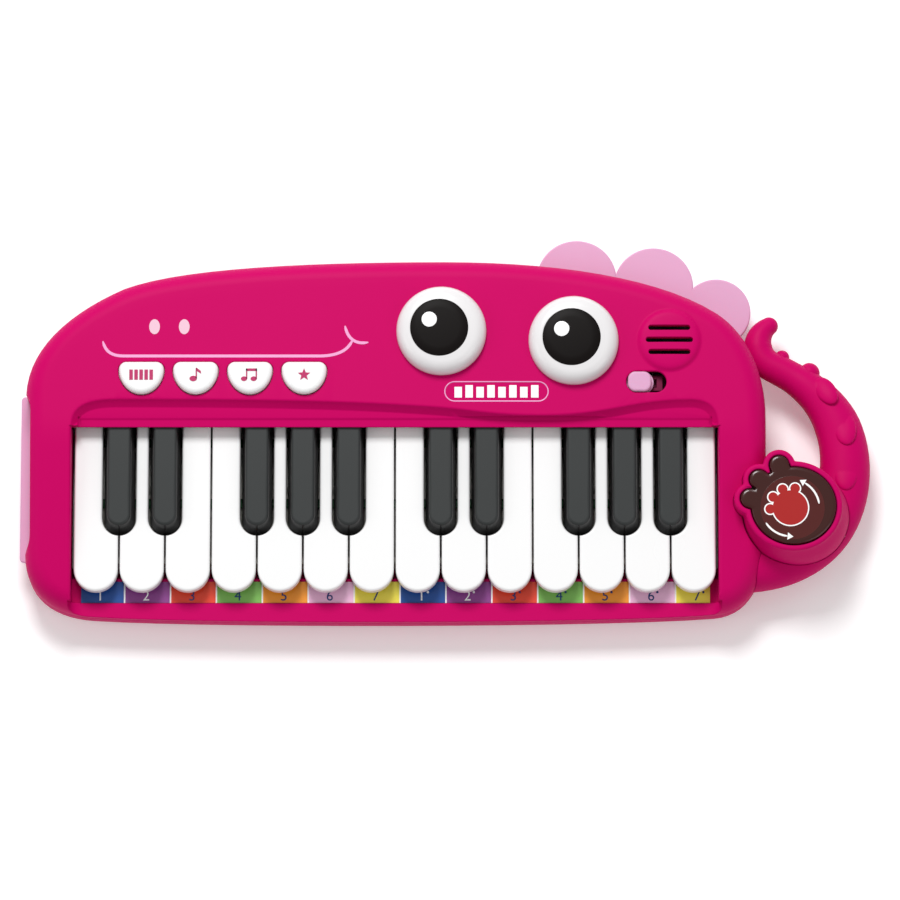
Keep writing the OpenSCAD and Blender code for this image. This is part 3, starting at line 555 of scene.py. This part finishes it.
def build_top():
    top = loft("top_shell_look", body_loops(0, PART_Z, SEAM), PINK)
    inner = loft("inner", body_loops(WALL, PART_Z - 1), None)
    x0, x1, _, back = WELL
    step = ccw(trace(STEP, STEP_STEPS, close=False))
    # Walls stay behind the left bar, on both sides of the well, under its front ledge and under the step.
    keep = [
        box("k", -200, TRIM_BACK + WALL, -63, 15, PART_Z - 2, OVER),
        box("k", x0 - WALL, x0, -92, back, PART_Z - 2, OVER),
        box("k", x1, x1 + WALL, -92, back, PART_Z - 2, OVER),
        box("k", x0 - WALL, x1 + WALL, -92, -70, LEDGE_Z - WALL, OVER),
        prism("k", step, [(1.0, STEP_Z - WALL), (1.0, OVER)]),
        box("k", x0 - WALL, x1 + WALL, back - 2, 4, STEP_Z - WALL, OVER),
    ]
    boolean(inner, keep)
    boolean(top, inner)
    boolean(top, revolve("bump", *SPEAKER, SPEAKER_DOME, PINK), "UNION")
    # The strip's ledge and the front lip stay; everything above them goes.
    upper = well_cutter()
    boolean(upper, box("hold", x0 - 5, x1 + 5, -95, -70, -10, LEDGE_Z))
    boolean(top, upper)
    boolean(top, lip_cutter())
    wall = [(-3.4, STEP_Z), (-3.0, STEP_Z + 0.05), (-0.6, 36.9), (-0.2, 37.5), (0.2, 37.85)]
    boolean(top, falling_cut(step, [*wall, (0.8, TOP_Z), (0.8, OVER)]))
    wall = [(-0.9, STEP_Z - 0.55), (-0.6, STEP_Z - 0.5), (-0.2, STEP_Z - 0.15), (0.6, STEP_Z + 0.1)]
    boolean(top, falling_cut(LOWER_LEDGE, [*wall, (0.6, OVER)]))
    for i in range(4):
        pts = [(x + BUTTON_C[0] + i * BUTTON_PITCH, y + BUTTON_C[1]) for x, y in button_outline(0.3)]
        boolean(top, prism("b", pts, flared(0.5, 30, TOP_Z)))
    slot = stadium(SWITCH[0] + SWITCH_TRAVEL / 2, SWITCH[1], 18.4, 9.8)
    boolean(top, prism("s", slot, flared(0.6, 30, TOP_Z)))
    for k in (-1, 0, 1):
        slot = stadium(SPEAKER[0], SPEAKER[1] + 5.65 * k, 21.6 if k == 0 else 19.2, 2.4, 10)
        boolean(top, prism("g", slot, [(0, 30), (0, OVER)]))
    boolean(top, prism("pod", pod_outline(0.15), [(0, 8), (0, FAR_OVER)]))
    boolean(top, prism("trim", TRIM_RECESS, [(0, 0), (0, FAR_OVER)]))
    for x, y, r in LOBES:
        boolean(top, prism("lobe", circle(x, y, r + 0.1), [(0, PART_Z - 1), (0, PART_Z + 2.3)]))
    stands_for(finish_cut(top), "case", "top_shell")


def build_bottom():
    o = loft("bottom_shell_look", lower_loops(0, PART_Z - 0.01, SEAM), PINK)
    inner = loft("in", lower_loops(WALL, PART_Z + 1), None)
    boolean(inner, box("k", -200, TRIM_BACK + WALL, -63, 15, 0, FAR_OVER))
    boolean(o, inner)
    # The battery bay: its walls, its room, the door's opening, and the places for the door's screw and hook
    x0, x1, y0, y1 = BAY
    door_end, screw_y = DOOR_END + 0.3, DOOR_SCREW[1]
    boolean(o, box("b", x0 - WALL, x1 + WALL, y0 - WALL, y1 + WALL, 3, 21), "UNION")
    boolean(o, box("b", x0, x1, y0, y1, 0, 19.4))
    boolean(o, box("b", x0, door_end, y0, y1, 0, FOOT_H + DOOR_H + 0.1))
    boolean(o, box("b", DOOR_SCREW[0] - 4.6, door_end, screw_y - 4.6, screw_y + 4.6, 0, 5.8))
    boolean(o, box("b", x0 - 4, x0 + 1, screw_y - 2.4, screw_y + 2.4, 4, 8.6))
    for x, y in CASE_SCREWS:
        boolean(o, revolve("p", x, y, [(3.9, FOOT_H + 1), (3.9, PART_Z - 0.3)], None, 32), "UNION")
        boolean(o, revolve("p", x, y, [(2.7, -1), (2.7, 9.5)], None, 32))
    boolean(o, prism("trim", TRIM_RECESS, [(0, 0), (0, FAR_OVER)]))
    stands_for(finish_cut(o), "case", "bottom_shell")


# ---- Keys ----
def white_outline(i):
    """A white key from its round tip to its back, notched where a black key stands."""
    w, x0 = PITCH - GAP, KEYS_X0 + i * PITCH
    xl, xr = x0 + GAP / 2, x0 + PITCH - GAP / 2
    cy = BLACK_TIP + BLACK_W / 2
    a = math.degrees(math.acos((GAP / 2) / NOTCH_R))
    pts = arc((xl + xr) / 2, KEY_TIP + w / 2, w / 2, 180, 360, 28)
    if i + 1 in BLACK_EDGES:
        pts += arc(x0 + PITCH, cy, NOTCH_R, 180 + a, 180, 10)
        pts += [(x0 + PITCH - NOTCH_R, KEY_BACK)]
    else:
        pts += [(xr, KEY_BACK)]
    if i in BLACK_EDGES:
        pts += [(x0 + NOTCH_R, KEY_BACK)]
        pts += arc(x0, cy, NOTCH_R, 360, 360 - a, 10)
    else:
        pts += [(xl, KEY_BACK)]
    return pts


def pivot_bar(name, x, half, r, n, mat):
    """A round bar along X, centred on the keys' pivot."""
    y, z = PIVOT
    loops = [[(x + s, y + r * math.cos(a), z + r * math.sin(a)) for a in turns(n)] for s in (-half, half)]
    return loft(name, loops, mat)


def hub_parts(x, z1, row, mat):
    """A key's bored hub with the post above it, and the plunger over its rubber dome."""
    hub = pivot_bar("hub", x, HUB_HALF, HUB_R, 32, mat)
    post = box("post", x - HUB_HALF, x + HUB_HALF, PIVOT[0] - HUB_R, KEY_BACK, PIVOT[1], z1, mat)
    bore = pivot_bar("bore", x, 4, BORE_R, 24, None)
    boolean(hub, post, "UNION")
    boolean(hub, bore)
    tidy(hub)
    return [hub, revolve("plunger", x, row, [(2, 15.5), (2, z1 + 1)], mat, 24)]


def white_key(i):
    name, x0 = f"white_key_{i + 1}", KEYS_X0 + i * PITCH
    a = x0 + (NOTCH_R if i in BLACK_EDGES else GAP / 2)
    b = x0 + PITCH - (NOTCH_R if (i + 1) in BLACK_EDGES else GAP / 2)
    top = prism(name + "_look", white_outline(i), rounded(1.1, WHITE_Z - SKIRT, WHITE_Z, 5), WHITE, 30)
    key = join(name + "_look", [top, *hub_parts((a + b) / 2, WHITE_Z - SKIRT + 0.5, WHITE_ROW, WHITE)])
    stands_for(finish_key(key), name, name)


def black_key(i, edge):
    name, x, r = f"black_key_{i + 1}", KEYS_X0 + edge * PITCH, 1.5
    height, lean = BLACK_Z - BLACK_FOOT, (BLACK_W - BLACK_TOP_W) / 2
    # Each loop's share of the lean, how far the rounded edge has come in, and its height
    steps = [(f, 0.0, BLACK_FOOT + f * height) for f in (0, 0.3, 0.6, 0.86)]
    over = (BLACK_Z - r - BLACK_FOOT) / height
    steps += [(over, r * (1 - cosd(a)), BLACK_Z - r + r * sind(a)) for a in (0, 20, 40, 60, 75, 90)]
    loops = []
    for f, inward, z in steps:
        w = BLACK_W / 2 - lean * f - inward
        tip = BLACK_TIP + BLACK_SLOPE * f + inward
        ring = arc(x, tip + w, w, 180, 360, 24)
        ys = [tip + w + (0.3 - tip - w) * j / 10 for j in range(1, 11)]
        ring += [(x + w, y) for y in ys] + [(x - w, y) for y in reversed(ys)]
        dip = BLACK_DIP if z > 30 else 0.0
        loops.append([(px, py, z - dip * (1 - smooth((py - BLACK_DIP_Y) / 6))) for px, py in ring])
    head = loft("head", loops, BLACK, 30)
    back = prism("back", rect(x - 6.4, x + 6.4, 0.2, KEY_BACK), [(0, BLACK_FOOT), (0, 26)], BLACK)
    # The sides take painted shade.
    polish_sides(head, BLACK_SHADED_SIDES)
    key = join(name + "_look", [head, back, *hub_parts(x, BLACK_FOOT + 1, BLACK_ROW, BLACK)])
    stands_for(finish_key(key), name, name)


def build_keys():
    for i in range(14):
        white_key(i)
    for i, edge in enumerate(BLACK_EDGES):
        black_key(i, edge)


def polish_sides(o, mat):
    """A second material on every face that isn't nearly level: darker, as painted shade on the sides, and
    glossier.
    """
    o.data.materials.append(mat)
    for f in o.data.polygons:
        if f.normal.z < 0.72:
            f.material_index = len(o.data.materials) - 1


def finish_key(o):
    w = o.modifiers.new("normals", "WEIGHTED_NORMAL")
    w.keep_sharp = True
    return o


# ---- Face ----
def ribbon(name, pts, width, z, mat, thick=INLAY):
    """A flat inlay along a line of points, narrowing to round ends."""
    left, right, last = [], [], len(pts) - 1
    for i, (x, y) in enumerate(pts):
        d = (Vector(pts[min(i + 1, last)]) - Vector(pts[max(i - 1, 0)])).normalized()
        w = width / 2 * math.sqrt(min(1.0, (min(i, last - i) + 0.35) / 2.5))
        left.append((x - d.y * w, y + d.x * w))
        right.append((x + d.y * w, y - d.x * w))
    return plate(name, right + left[::-1], z, mat, thick)


def plate(name, pts, z, mat, thick=INLAY):
    """A flat inlay that stands proud of the face at z by its thickness."""
    return prism(name, pts, [(0, z - 0.3), (0, z + thick)], mat, 60)


def build_marks():
    """The mouth, cheek line, nostrils and badge printed on the case."""
    face = [
        ribbon("m", trace(MOUTH, 14, close=False), 1.35, TOP_Z, INK_PALE),
        ribbon("c", trace(CHEEK, 18, close=False), 1.35, TOP_Z + 0.04, INK_PALE),
    ]
    face += [plate("n", circle(x, y, 2.45, 40, 3.5), TOP_Z, INK_NOSE) for x, y in NOSTRILS]
    cx, cy = BADGE_C
    ring = plate("p", stadium(cx, cy, 47.7, 9.5, 16), TOP_Z, INK_PALE)
    face.append(boolean(ring, prism("q", stadium(cx, cy, 46.7, 8.5, 16), [(0, 30), (0, OVER)])))
    for k in range(8):
        x, back = cx + (k - 3.5) * 5.0, cy + (2.9 if k % 2 else 2.1)
        face.append(plate("w", rect(x - 1.7, x + 1.7, cy - 2.9, back), TOP_Z, INK_WHITE))
    o = join("face_marks", face)
    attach(o, "case")


def build_eyes():
    for e, (x, y) in enumerate(EYES):
        pro = [(EYE_R, TOP_Z), (EYE_R, 38.8)]
        pro += [(EYE_R - 6.2 + 6.2 * cosd(a), 38.8 + 6.0 * sind(a)) for a in range(8, 89, 8)]
        pro += [(14.2, 44.82), (13.0, 45.0), (10, 45.2), (5, 45.38), (0.4, 45.42)]
        ball = revolve("eye", x, y, pro, EYE, 128)
        stands_for(finish_key(ball), "case", ("eye_left", "eye_right")[e])
        ball.name = f"eye_look_{e + 1}"
    marks = []
    for x, y in EYES:
        px, py = x - 1.0, y + 0.4
        pro = [(PUPIL_R, 44.3), (PUPIL_R, 45.1), (PUPIL_R - 0.3, 45.3), (9, 45.55), (4, 45.68), (0.3, 45.7)]
        marks.append(revolve("p", px, py, pro, PUPIL, 96))
        pro = [(3.5, 45.3), (3.5, 45.66), (3.3, 45.72), (0.3, 45.78)]
        marks.append(revolve("g", px - 4.5, py + 3.6, pro, INK_WHITE, 40))
    stands_for(join("pupils_look", marks), "case", "pupils")


def button_art(i, x, y, z):
    """The pictogram on button i: bars, a note, two notes or a star."""
    if i == 0:
        outlines = [rect(x + k * 2.3 - 0.8, x + k * 2.3 + 0.8, y - 2.4, y + 2.4) for k in (-2, -1, 0, 1, 2)]
    elif i == 1:
        flag = [(x + 0.5, y + 3.2), (x + 0.5, y + 1.8), (x + 2.6, y + 0.4), (x + 2.4, y + 1.8)]
        outlines = [circle(x - 1, y - 1.8, 1.7, 28, 1.3), rect(x + 0.1, x + 0.7, y - 1.8, y + 3.2), flag]
    elif i == 2:
        outlines = [circle(x + s, y - 1.9, 1.4, 28, 1.1) for s in (-2.6, 1.8)]
        outlines += [rect(x + s, x + s + 0.6, y - 1.9, y + 2.8) for s in (-1.7, 2.7)]
        outlines.append(rect(x - 1.7, x + 3.3, y + 1.7, y + 2.9))
    else:
        points = [(3.0 if k % 2 == 0 else 1.3, math.pi * k / 5) for k in range(10)]
        outlines = [[(x + r * math.sin(a), y + r * math.cos(a)) for r, a in points]]
    return [plate("a", pts, z, INK_PINK) for pts in outlines]


def build_buttons():
    for i in range(4):
        name = f"sound_button_{i + 1}"
        bx, by = BUTTON_C[0] + i * BUTTON_PITCH, BUTTON_C[1]
        pts, wide = ([(x + bx, y + by) for x, y in button_outline(g)] for g in (0, 0.8))
        cap = prism("b", pts, rounded(2.4, 34.8, BUTTON_Z, 8), WHITE, 30)
        flange = prism("f", wide, [(0, 34.2), (0, 35.6)], WHITE)
        stem = revolve("s", bx, by + 7.5, [(3, 33.4), (3, 35)], WHITE, 32)
        art = button_art(i, bx, by + 8.6, BUTTON_Z)
        stands_for(finish_key(join(name + "_look", [cap, flange, stem, *art])), name, name)


def build_switch():
    x, y = SWITCH
    outline = []
    for sx, sy, a in ((1, -1, -90), (1, 1, 0), (-1, 1, 90), (-1, -1, 180)):
        outline += arc(x + sx * 1.9, y + sy * 1.2, 3.4, a, a + 90, 8)
    cap = prism("c", outline, rounded(1.0, 34, 39.4, 5), PALE, 30)
    flange = prism("f", stadium(x - 0.85, y, 14.7, 11), [(0, 33.6), (0, 35.4)], PALE)
    pin = box("p", x - 1.2, x + 1.2, y - 1.6, y + 1.6, 30.2, 34, PALE)
    switch = join("power_switch_look", [cap, flange, pin])
    stands_for(finish_key(switch), "power_switch", "power_switch_cap")


# ---- Number strip ----
def digit(n, x, mat):
    """A printed digit, as a mesh on the strip."""
    cu = bpy.data.curves.new("digit", "FONT")
    cu.body = str(n)
    cu.size = 6.6 * MM
    cu.align_x, cu.align_y = "CENTER", "CENTER"
    cu.extrude = 0.08 * MM
    d = bpy.data.objects.new("digit", cu)
    bpy.context.scene.collection.objects.link(d)
    me = evaluated(d)
    for v in me.vertices:
        v.co += Vector((x * MM, -78.1 * MM, (LEDGE_Z + 0.3) * MM))
    bpy.data.objects.remove(d)
    me.materials.clear()
    me.materials.append(mat)
    o = bpy.data.objects.new("digit", me)
    bpy.context.scene.collection.objects.link(o)
    return o


def build_strip():
    """The white sheet, a coloured tile per white key, and digits with a dot in the upper octave."""
    x0, x1, front, back = STRIP
    parts = [box("s", x0, x1, front, back, LEDGE_Z, LEDGE_Z + 0.2, INK_WHITE)]
    for k in range(14):
        a = x0 if k == 0 else KEYS_X0 + k * PITCH + 2.7
        b = x1 if k == 13 else KEYS_X0 + (k + 1) * PITCH + 2.0
        parts.append(box("t", a, b, front, back, LEDGE_Z + 0.1, LEDGE_Z + 0.26, TILES[k % 7]))
    for k in range(14):
        n, x = k % 7, KEYS_X0 + k * PITCH + 12.2
        mat = INK_WHITE if n < 2 else INK_BLUE
        parts.append(digit(n + 1, x, mat))
        if k >= 7:
            profile = [(0.55, LEDGE_Z + 0.1), (0.55, LEDGE_Z + 0.36)]
            parts.append(revolve("dot", x + 2.9, -76.2, profile, mat, 20))
    stands_for(join("number_strip_look", parts), "case", "number_strip")


# ---- Tail, paw, crest ----
def tail_loops(side):
    """Half a tube along the tail's line, rounded off at the tip."""
    pts = trace(TAIL, TAIL_STEPS, close=False)
    last = len(pts) - 1
    arch = [math.pi * j / 20 for j in range(21)]
    loops = []
    for i, turn in [(k, 0) for k in range(last + 1)] + [(last, 14 * k) for k in range(1, 7)]:
        d = (Vector(pts[min(i + 1, last)]) - Vector(pts[max(i - 1, 0)])).normalized()
        t = i / last * (len(TAIL_W) - 1)
        k = min(int(t), len(TAIL_W) - 2)
        full = TAIL_W[k] + (TAIL_W[k + 1] - TAIL_W[k]) * (t - k)
        w, ahead = full * cosd(turn), full * sind(turn)
        h = min(w, 3.5 + 0.55 * w)
        px, py = pts[i][0] + d.x * ahead, pts[i][1] + d.y * ahead
        section = [(w * math.cos(q), h * math.sin(q)) for q in arch]
        section += [(w * math.cos(q), 0) for q in arch[-2:0:-1]]
        loops.append([(px + d.y * a, py - d.x * a, TAIL_Z + side * b) for a, b in section])
    return loops


def tail_bump(x, y, r, side):
    """Half of a small ball on the tail's outer edge."""
    profile = [(r * cosd(a), TAIL_Z + side * r * sind(a)) for a in (0, 15, 30, 45, 60, 75, 87)]
    return revolve("bump", x, y, profile, None, 40)


def tail_scale(x, y, r, turn):
    """A long dome on the tail's back that stands proud at its end towards the root."""
    ca, sa = cosd(turn), sind(turn)
    loops = []
    for a in range(-80, 81, 16):
        s, rise = cosd(a), 2.0 * sind(a)
        ring = [(1.6 * r * s * math.cos(q), r * s * math.sin(q)) for q in turns(36)]
        z = TAIL_Z + 7.9 + rise
        loops.append([(x + u * ca - v * sa, y + u * sa + v * ca, z + 0.26 * u) for u, v in ring])
    return loft("scale", loops, None)


def build_tail():
    for side, node in ((1, "tail_upper"), (-1, "tail_lower")):
        o = loft(node + "_look", tail_loops(side), PINK, 50)
        for bump in TAIL_BUMPS:
            boolean(o, tail_bump(*bump, side), "UNION")
        if side > 0:
            for scale in TAIL_SCALES:
                boolean(o, tail_scale(*scale), "UNION")
        boolean(o, loft("cut", body_loops(-0.1, PART_Z - 0.1), None))
        boolean(o, loft("cut", lower_loops(-0.1, PART_Z), None))
        boolean(o, prism("pod", pod_outline(0.15), [(0, PAN_Z + 1.95), (0, FAR_OVER)]))
        if side < 0:
            # The lower half carries the pan that closes the paw's housing from below.
            profile = [(-1.2, PAN_Z), (-0.3, PAN_Z + 0.4), (0, PAN_Z + 1.2), (0, PAN_Z + 1.9)]
            pan = prism("pan", pod_outline(0), profile, PINK)
            boolean(pan, loft("cut", lower_loops(-0.1, PART_Z), None))
            boolean(o, pan, "UNION")
        stands_for(finish_cut(o, 40), "case", node)


def build_bezel():
    paw, pod = paw_outline(RIM_W), pod_outline(0)
    loops = [[(x, y, PAN_Z + 2) for x, y in pod], [(x, y, 25) for x, y in pod]]
    for f, z in ((0.08, 28), (0.25, 31), (0.5, 34), (0.75, 36.4), (0.92, 38.2), (1.0, 39.4)):
        pairs = zip(pod, paw, strict=True)
        loops.append([(a[0] + (b[0] - a[0]) * f, a[1] + (b[1] - a[1]) * f, z) for a, b in pairs])
    for a in (20, 40, 60, 80, 90):
        g = 1.3 * (1 - cosd(a))
        loops.append([(x, y, 39.7 + 1.3 * sind(a)) for x, y in grow(paw, -g)])
    o = loft("paw_bezel_look", loops, PINK, 40)
    boolean(o, prism("in", pod_outline(-WALL), [(0, 5), (0, 25)]))
    boolean(o, prism("in", paw_outline(1.7), [(0, 5), (0, PAW_Z - 2.6)]))
    boolean(o, prism("hole", paw_outline(0.01), flared(0.7, 30, PAW_Z)))
    boolean(o, loft("cut", lower_loops(-0.1, PART_Z - 0.1), None))
    boolean(o, box("w", 120, 142, -34, -26, 16, 28))
    stands_for(finish_cut(o, 34), "case", "paw_bezel")


def paw_art(z):
    """The printed paw, outlined in white, between two curved arrows."""
    cx, cy = PAD_C[0] - 1.6, PAD_C[1] - 1.2
    art = [plate("a", circle(cx + 1, cy, 14.6, 72), z, INK_BROWN, 0.02)]
    art.append(plate("a", circle(cx, cy, 8.6, 64), z, INK_WHITE, 0.05))
    art.append(plate("a", circle(cx, cy, 8.0, 64), z, INK_RED, 0.1))
    for a in (148, 112, 76, 184):
        tx, ty = cx + 9.2 * cosd(a), cy + 9.2 * sind(a)
        art.append(plate("a", circle(tx, ty, 2.8, 40), z, INK_WHITE, 0.04))
        art.append(plate("a", circle(tx, ty, 2.2, 40), z, INK_RED, 0.09))
    r, sweep = 13.2, 52
    for start in (212, 8):
        art.append(ribbon("r", arc(cx, cy, r, start, start + sweep, 20), 0.9, z, INK_WHITE, 0.08))
        c, s = cosd(start + sweep), sind(start + sweep)
        x, y = cx + r * c, cy + r * s
        head = [(x - s * 2.6, y + c * 2.6), (x + c * 1.7, y + s * 1.7), (x - c * 1.7, y - s * 1.7)]
        art.append(plate("r", head, z, INK_WHITE, 0.08))
    return art


def build_lens():
    profile = [(0, 33.5), (0, 41.2), (-0.35, 41.9), (-0.9, 42.2), (-1.8, 42.3)]
    lens = prism("lens", paw_outline(-0.3), profile, LENS, 34)
    rim = prism("rim", paw_outline(1.3), [(0, 36), (0, 38.2)], LENS)
    button = join("paw_button_look", [lens, rim, *paw_art(42.3)])
    stands_for(finish_key(button), "paw_button", "paw_button")


def build_crest():
    profile = [(-0.5, PART_Z), (0, PART_Z + 0.5), (0, PART_Z + 1.7), (-0.5, PART_Z + 2.2)]
    crest = None
    for x, y, r in LOBES:
        lobe = prism("lobe", circle(x, y, r), profile, PALE)
        crest = lobe if crest is None else boolean(crest, lobe, "UNION")
    base = ccw(trace(BODY, BODY_STEPS))
    boolean(crest, prism("in", grow(base, -3.4), [(0, 0), (0, OVER)]))
    crest.name = "crest_look"
    stands_for(finish_cut(crest), "case", "dorsal_crest")


def build_trim():
    pts = [(-188.2, -60), (-188.2, 13.5), *arc(-193.3, 13.2, 1.8, 90, 180, 8), (-195.1, -60)]
    pts += [*arc(-193.1, -60.4, 2.0, 180, 235, 6), (-191, -63)]
    profile = [(-0.4, PART_Z), (0, PART_Z + 0.4), (0, PART_Z + 1.8), (-0.4, PART_Z + 2.2)]
    stands_for(finish_key(prism("trim_look", pts, profile, PALE)), "case", "left_trim")


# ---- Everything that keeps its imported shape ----
def paint_rest():
    looks = {
        PINK: ["battery_door"],
        STEEL: [
            "battery_door_screw", "battery_contacts", "speaker_frame",
            "key_pivot_rod", "case_screws", "board_screws",
        ],
        GREEN: ["paw_board", "key_contact_board", "main_board"],
        RUBBER: ["button_pad", "key_rubber_strip"],
        # The slide switch takes painted shade.
        CELL: ["batteries"], SLOT_SHADE_PINK: ["slide_switch"], INK_RED: ["paw_insert"], CONE: ["speaker_cone"],
        GREY: ["key_chassis"], FOOT: ["feet"], WIRE: ["wires"],
    }
    for mat, names in looks.items():
        for name in names:
            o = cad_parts[name]
            o.data.materials.clear()
            o.data.materials.append(mat)


# ---- Light and camera ----
# Each lamp's name, place, size in metres and power in watts
LIGHTS = [
    ("key", (-0.2, 0.95, 1.3), 0.55, 20),
    ("fill", (1.0, -0.7, 1.0), 0.8, 3),
    ("side", (-1.2, -0.2, 0.9), 0.7, 2.5),
]
ELEVATION, LENS_MM, SENSOR_MM = 79, 250, 36
# The width seen at the target, and how much further back the camera stands
VIEW_WIDTH, STAND_BACK = 0.4126, 0.024
TARGET = (0.00206, -0.0067, 0.0)
FLOOR_HALF, FLOOR_GREY, FLOOR_GLOW, SKY = 4, 0.97, 0.16, 0.42


def set_stage():
    me = bpy.data.meshes.new("floor")
    corners = rect(-FLOOR_HALF, FLOOR_HALF, -FLOOR_HALF, FLOOR_HALF)
    me.from_pydata([(x, y, 0) for x, y in corners], [], [(0, 1, 2, 3)])
    floor = bpy.data.objects.new("floor", me)
    bpy.context.scene.collection.objects.link(floor)
    fm = bpy.data.materials.new("floor")
    fm.use_nodes = True
    b = fm.node_tree.nodes["Principled BSDF"]
    b.inputs["Base Color"].default_value = (FLOOR_GREY, FLOOR_GREY, FLOOR_GREY, 1)
    b.inputs["Emission Color"].default_value = (1, 1, 1, 1)
    b.inputs["Emission Strength"].default_value = FLOOR_GLOW
    b.inputs["Roughness"].default_value = 0.9
    b.inputs["Specular IOR Level"].default_value = 0.1
    me.materials.append(fm)
    w = bpy.context.scene.world or bpy.data.worlds.new("world")
    bpy.context.scene.world = w
    w.use_nodes = True
    w.node_tree.nodes["Background"].inputs["Color"].default_value = (1, 1, 1, 1)
    w.node_tree.nodes["Background"].inputs["Strength"].default_value = SKY
    for name, at, size, power in LIGHTS:
        la = bpy.data.lights.new(name, "AREA")
        la.size, la.energy = size, power
        lo = bpy.data.objects.new(name, la)
        lo.location = at
        lo.rotation_euler = (-Vector(at)).to_track_quat("-Z", "Y").to_euler()
        bpy.context.scene.collection.objects.link(lo)
    cam = bpy.data.cameras.new("camera")
    cam.lens, cam.sensor_width = LENS_MM, SENSOR_MM
    cam.clip_end = 30
    co = bpy.data.objects.new("camera", cam)
    away = Vector((0, -cosd(ELEVATION), sind(ELEVATION)))
    co.location = Vector(TARGET) + away * (VIEW_WIDTH * LENS_MM / SENSOR_MM + STAND_BACK)
    co.rotation_euler = (-away).to_track_quat("-Z", "Y").to_euler()
    bpy.context.scene.collection.objects.link(co)
    bpy.context.scene.camera = co
    bpy.context.scene.view_settings.view_transform = "Standard"


build_top()
build_bottom()
build_keys()
build_marks()
build_eyes()
build_buttons()
build_switch()
build_strip()
build_tail()
build_bezel()
build_lens()
build_crest()
build_trim()
paint_rest()
set_stage()
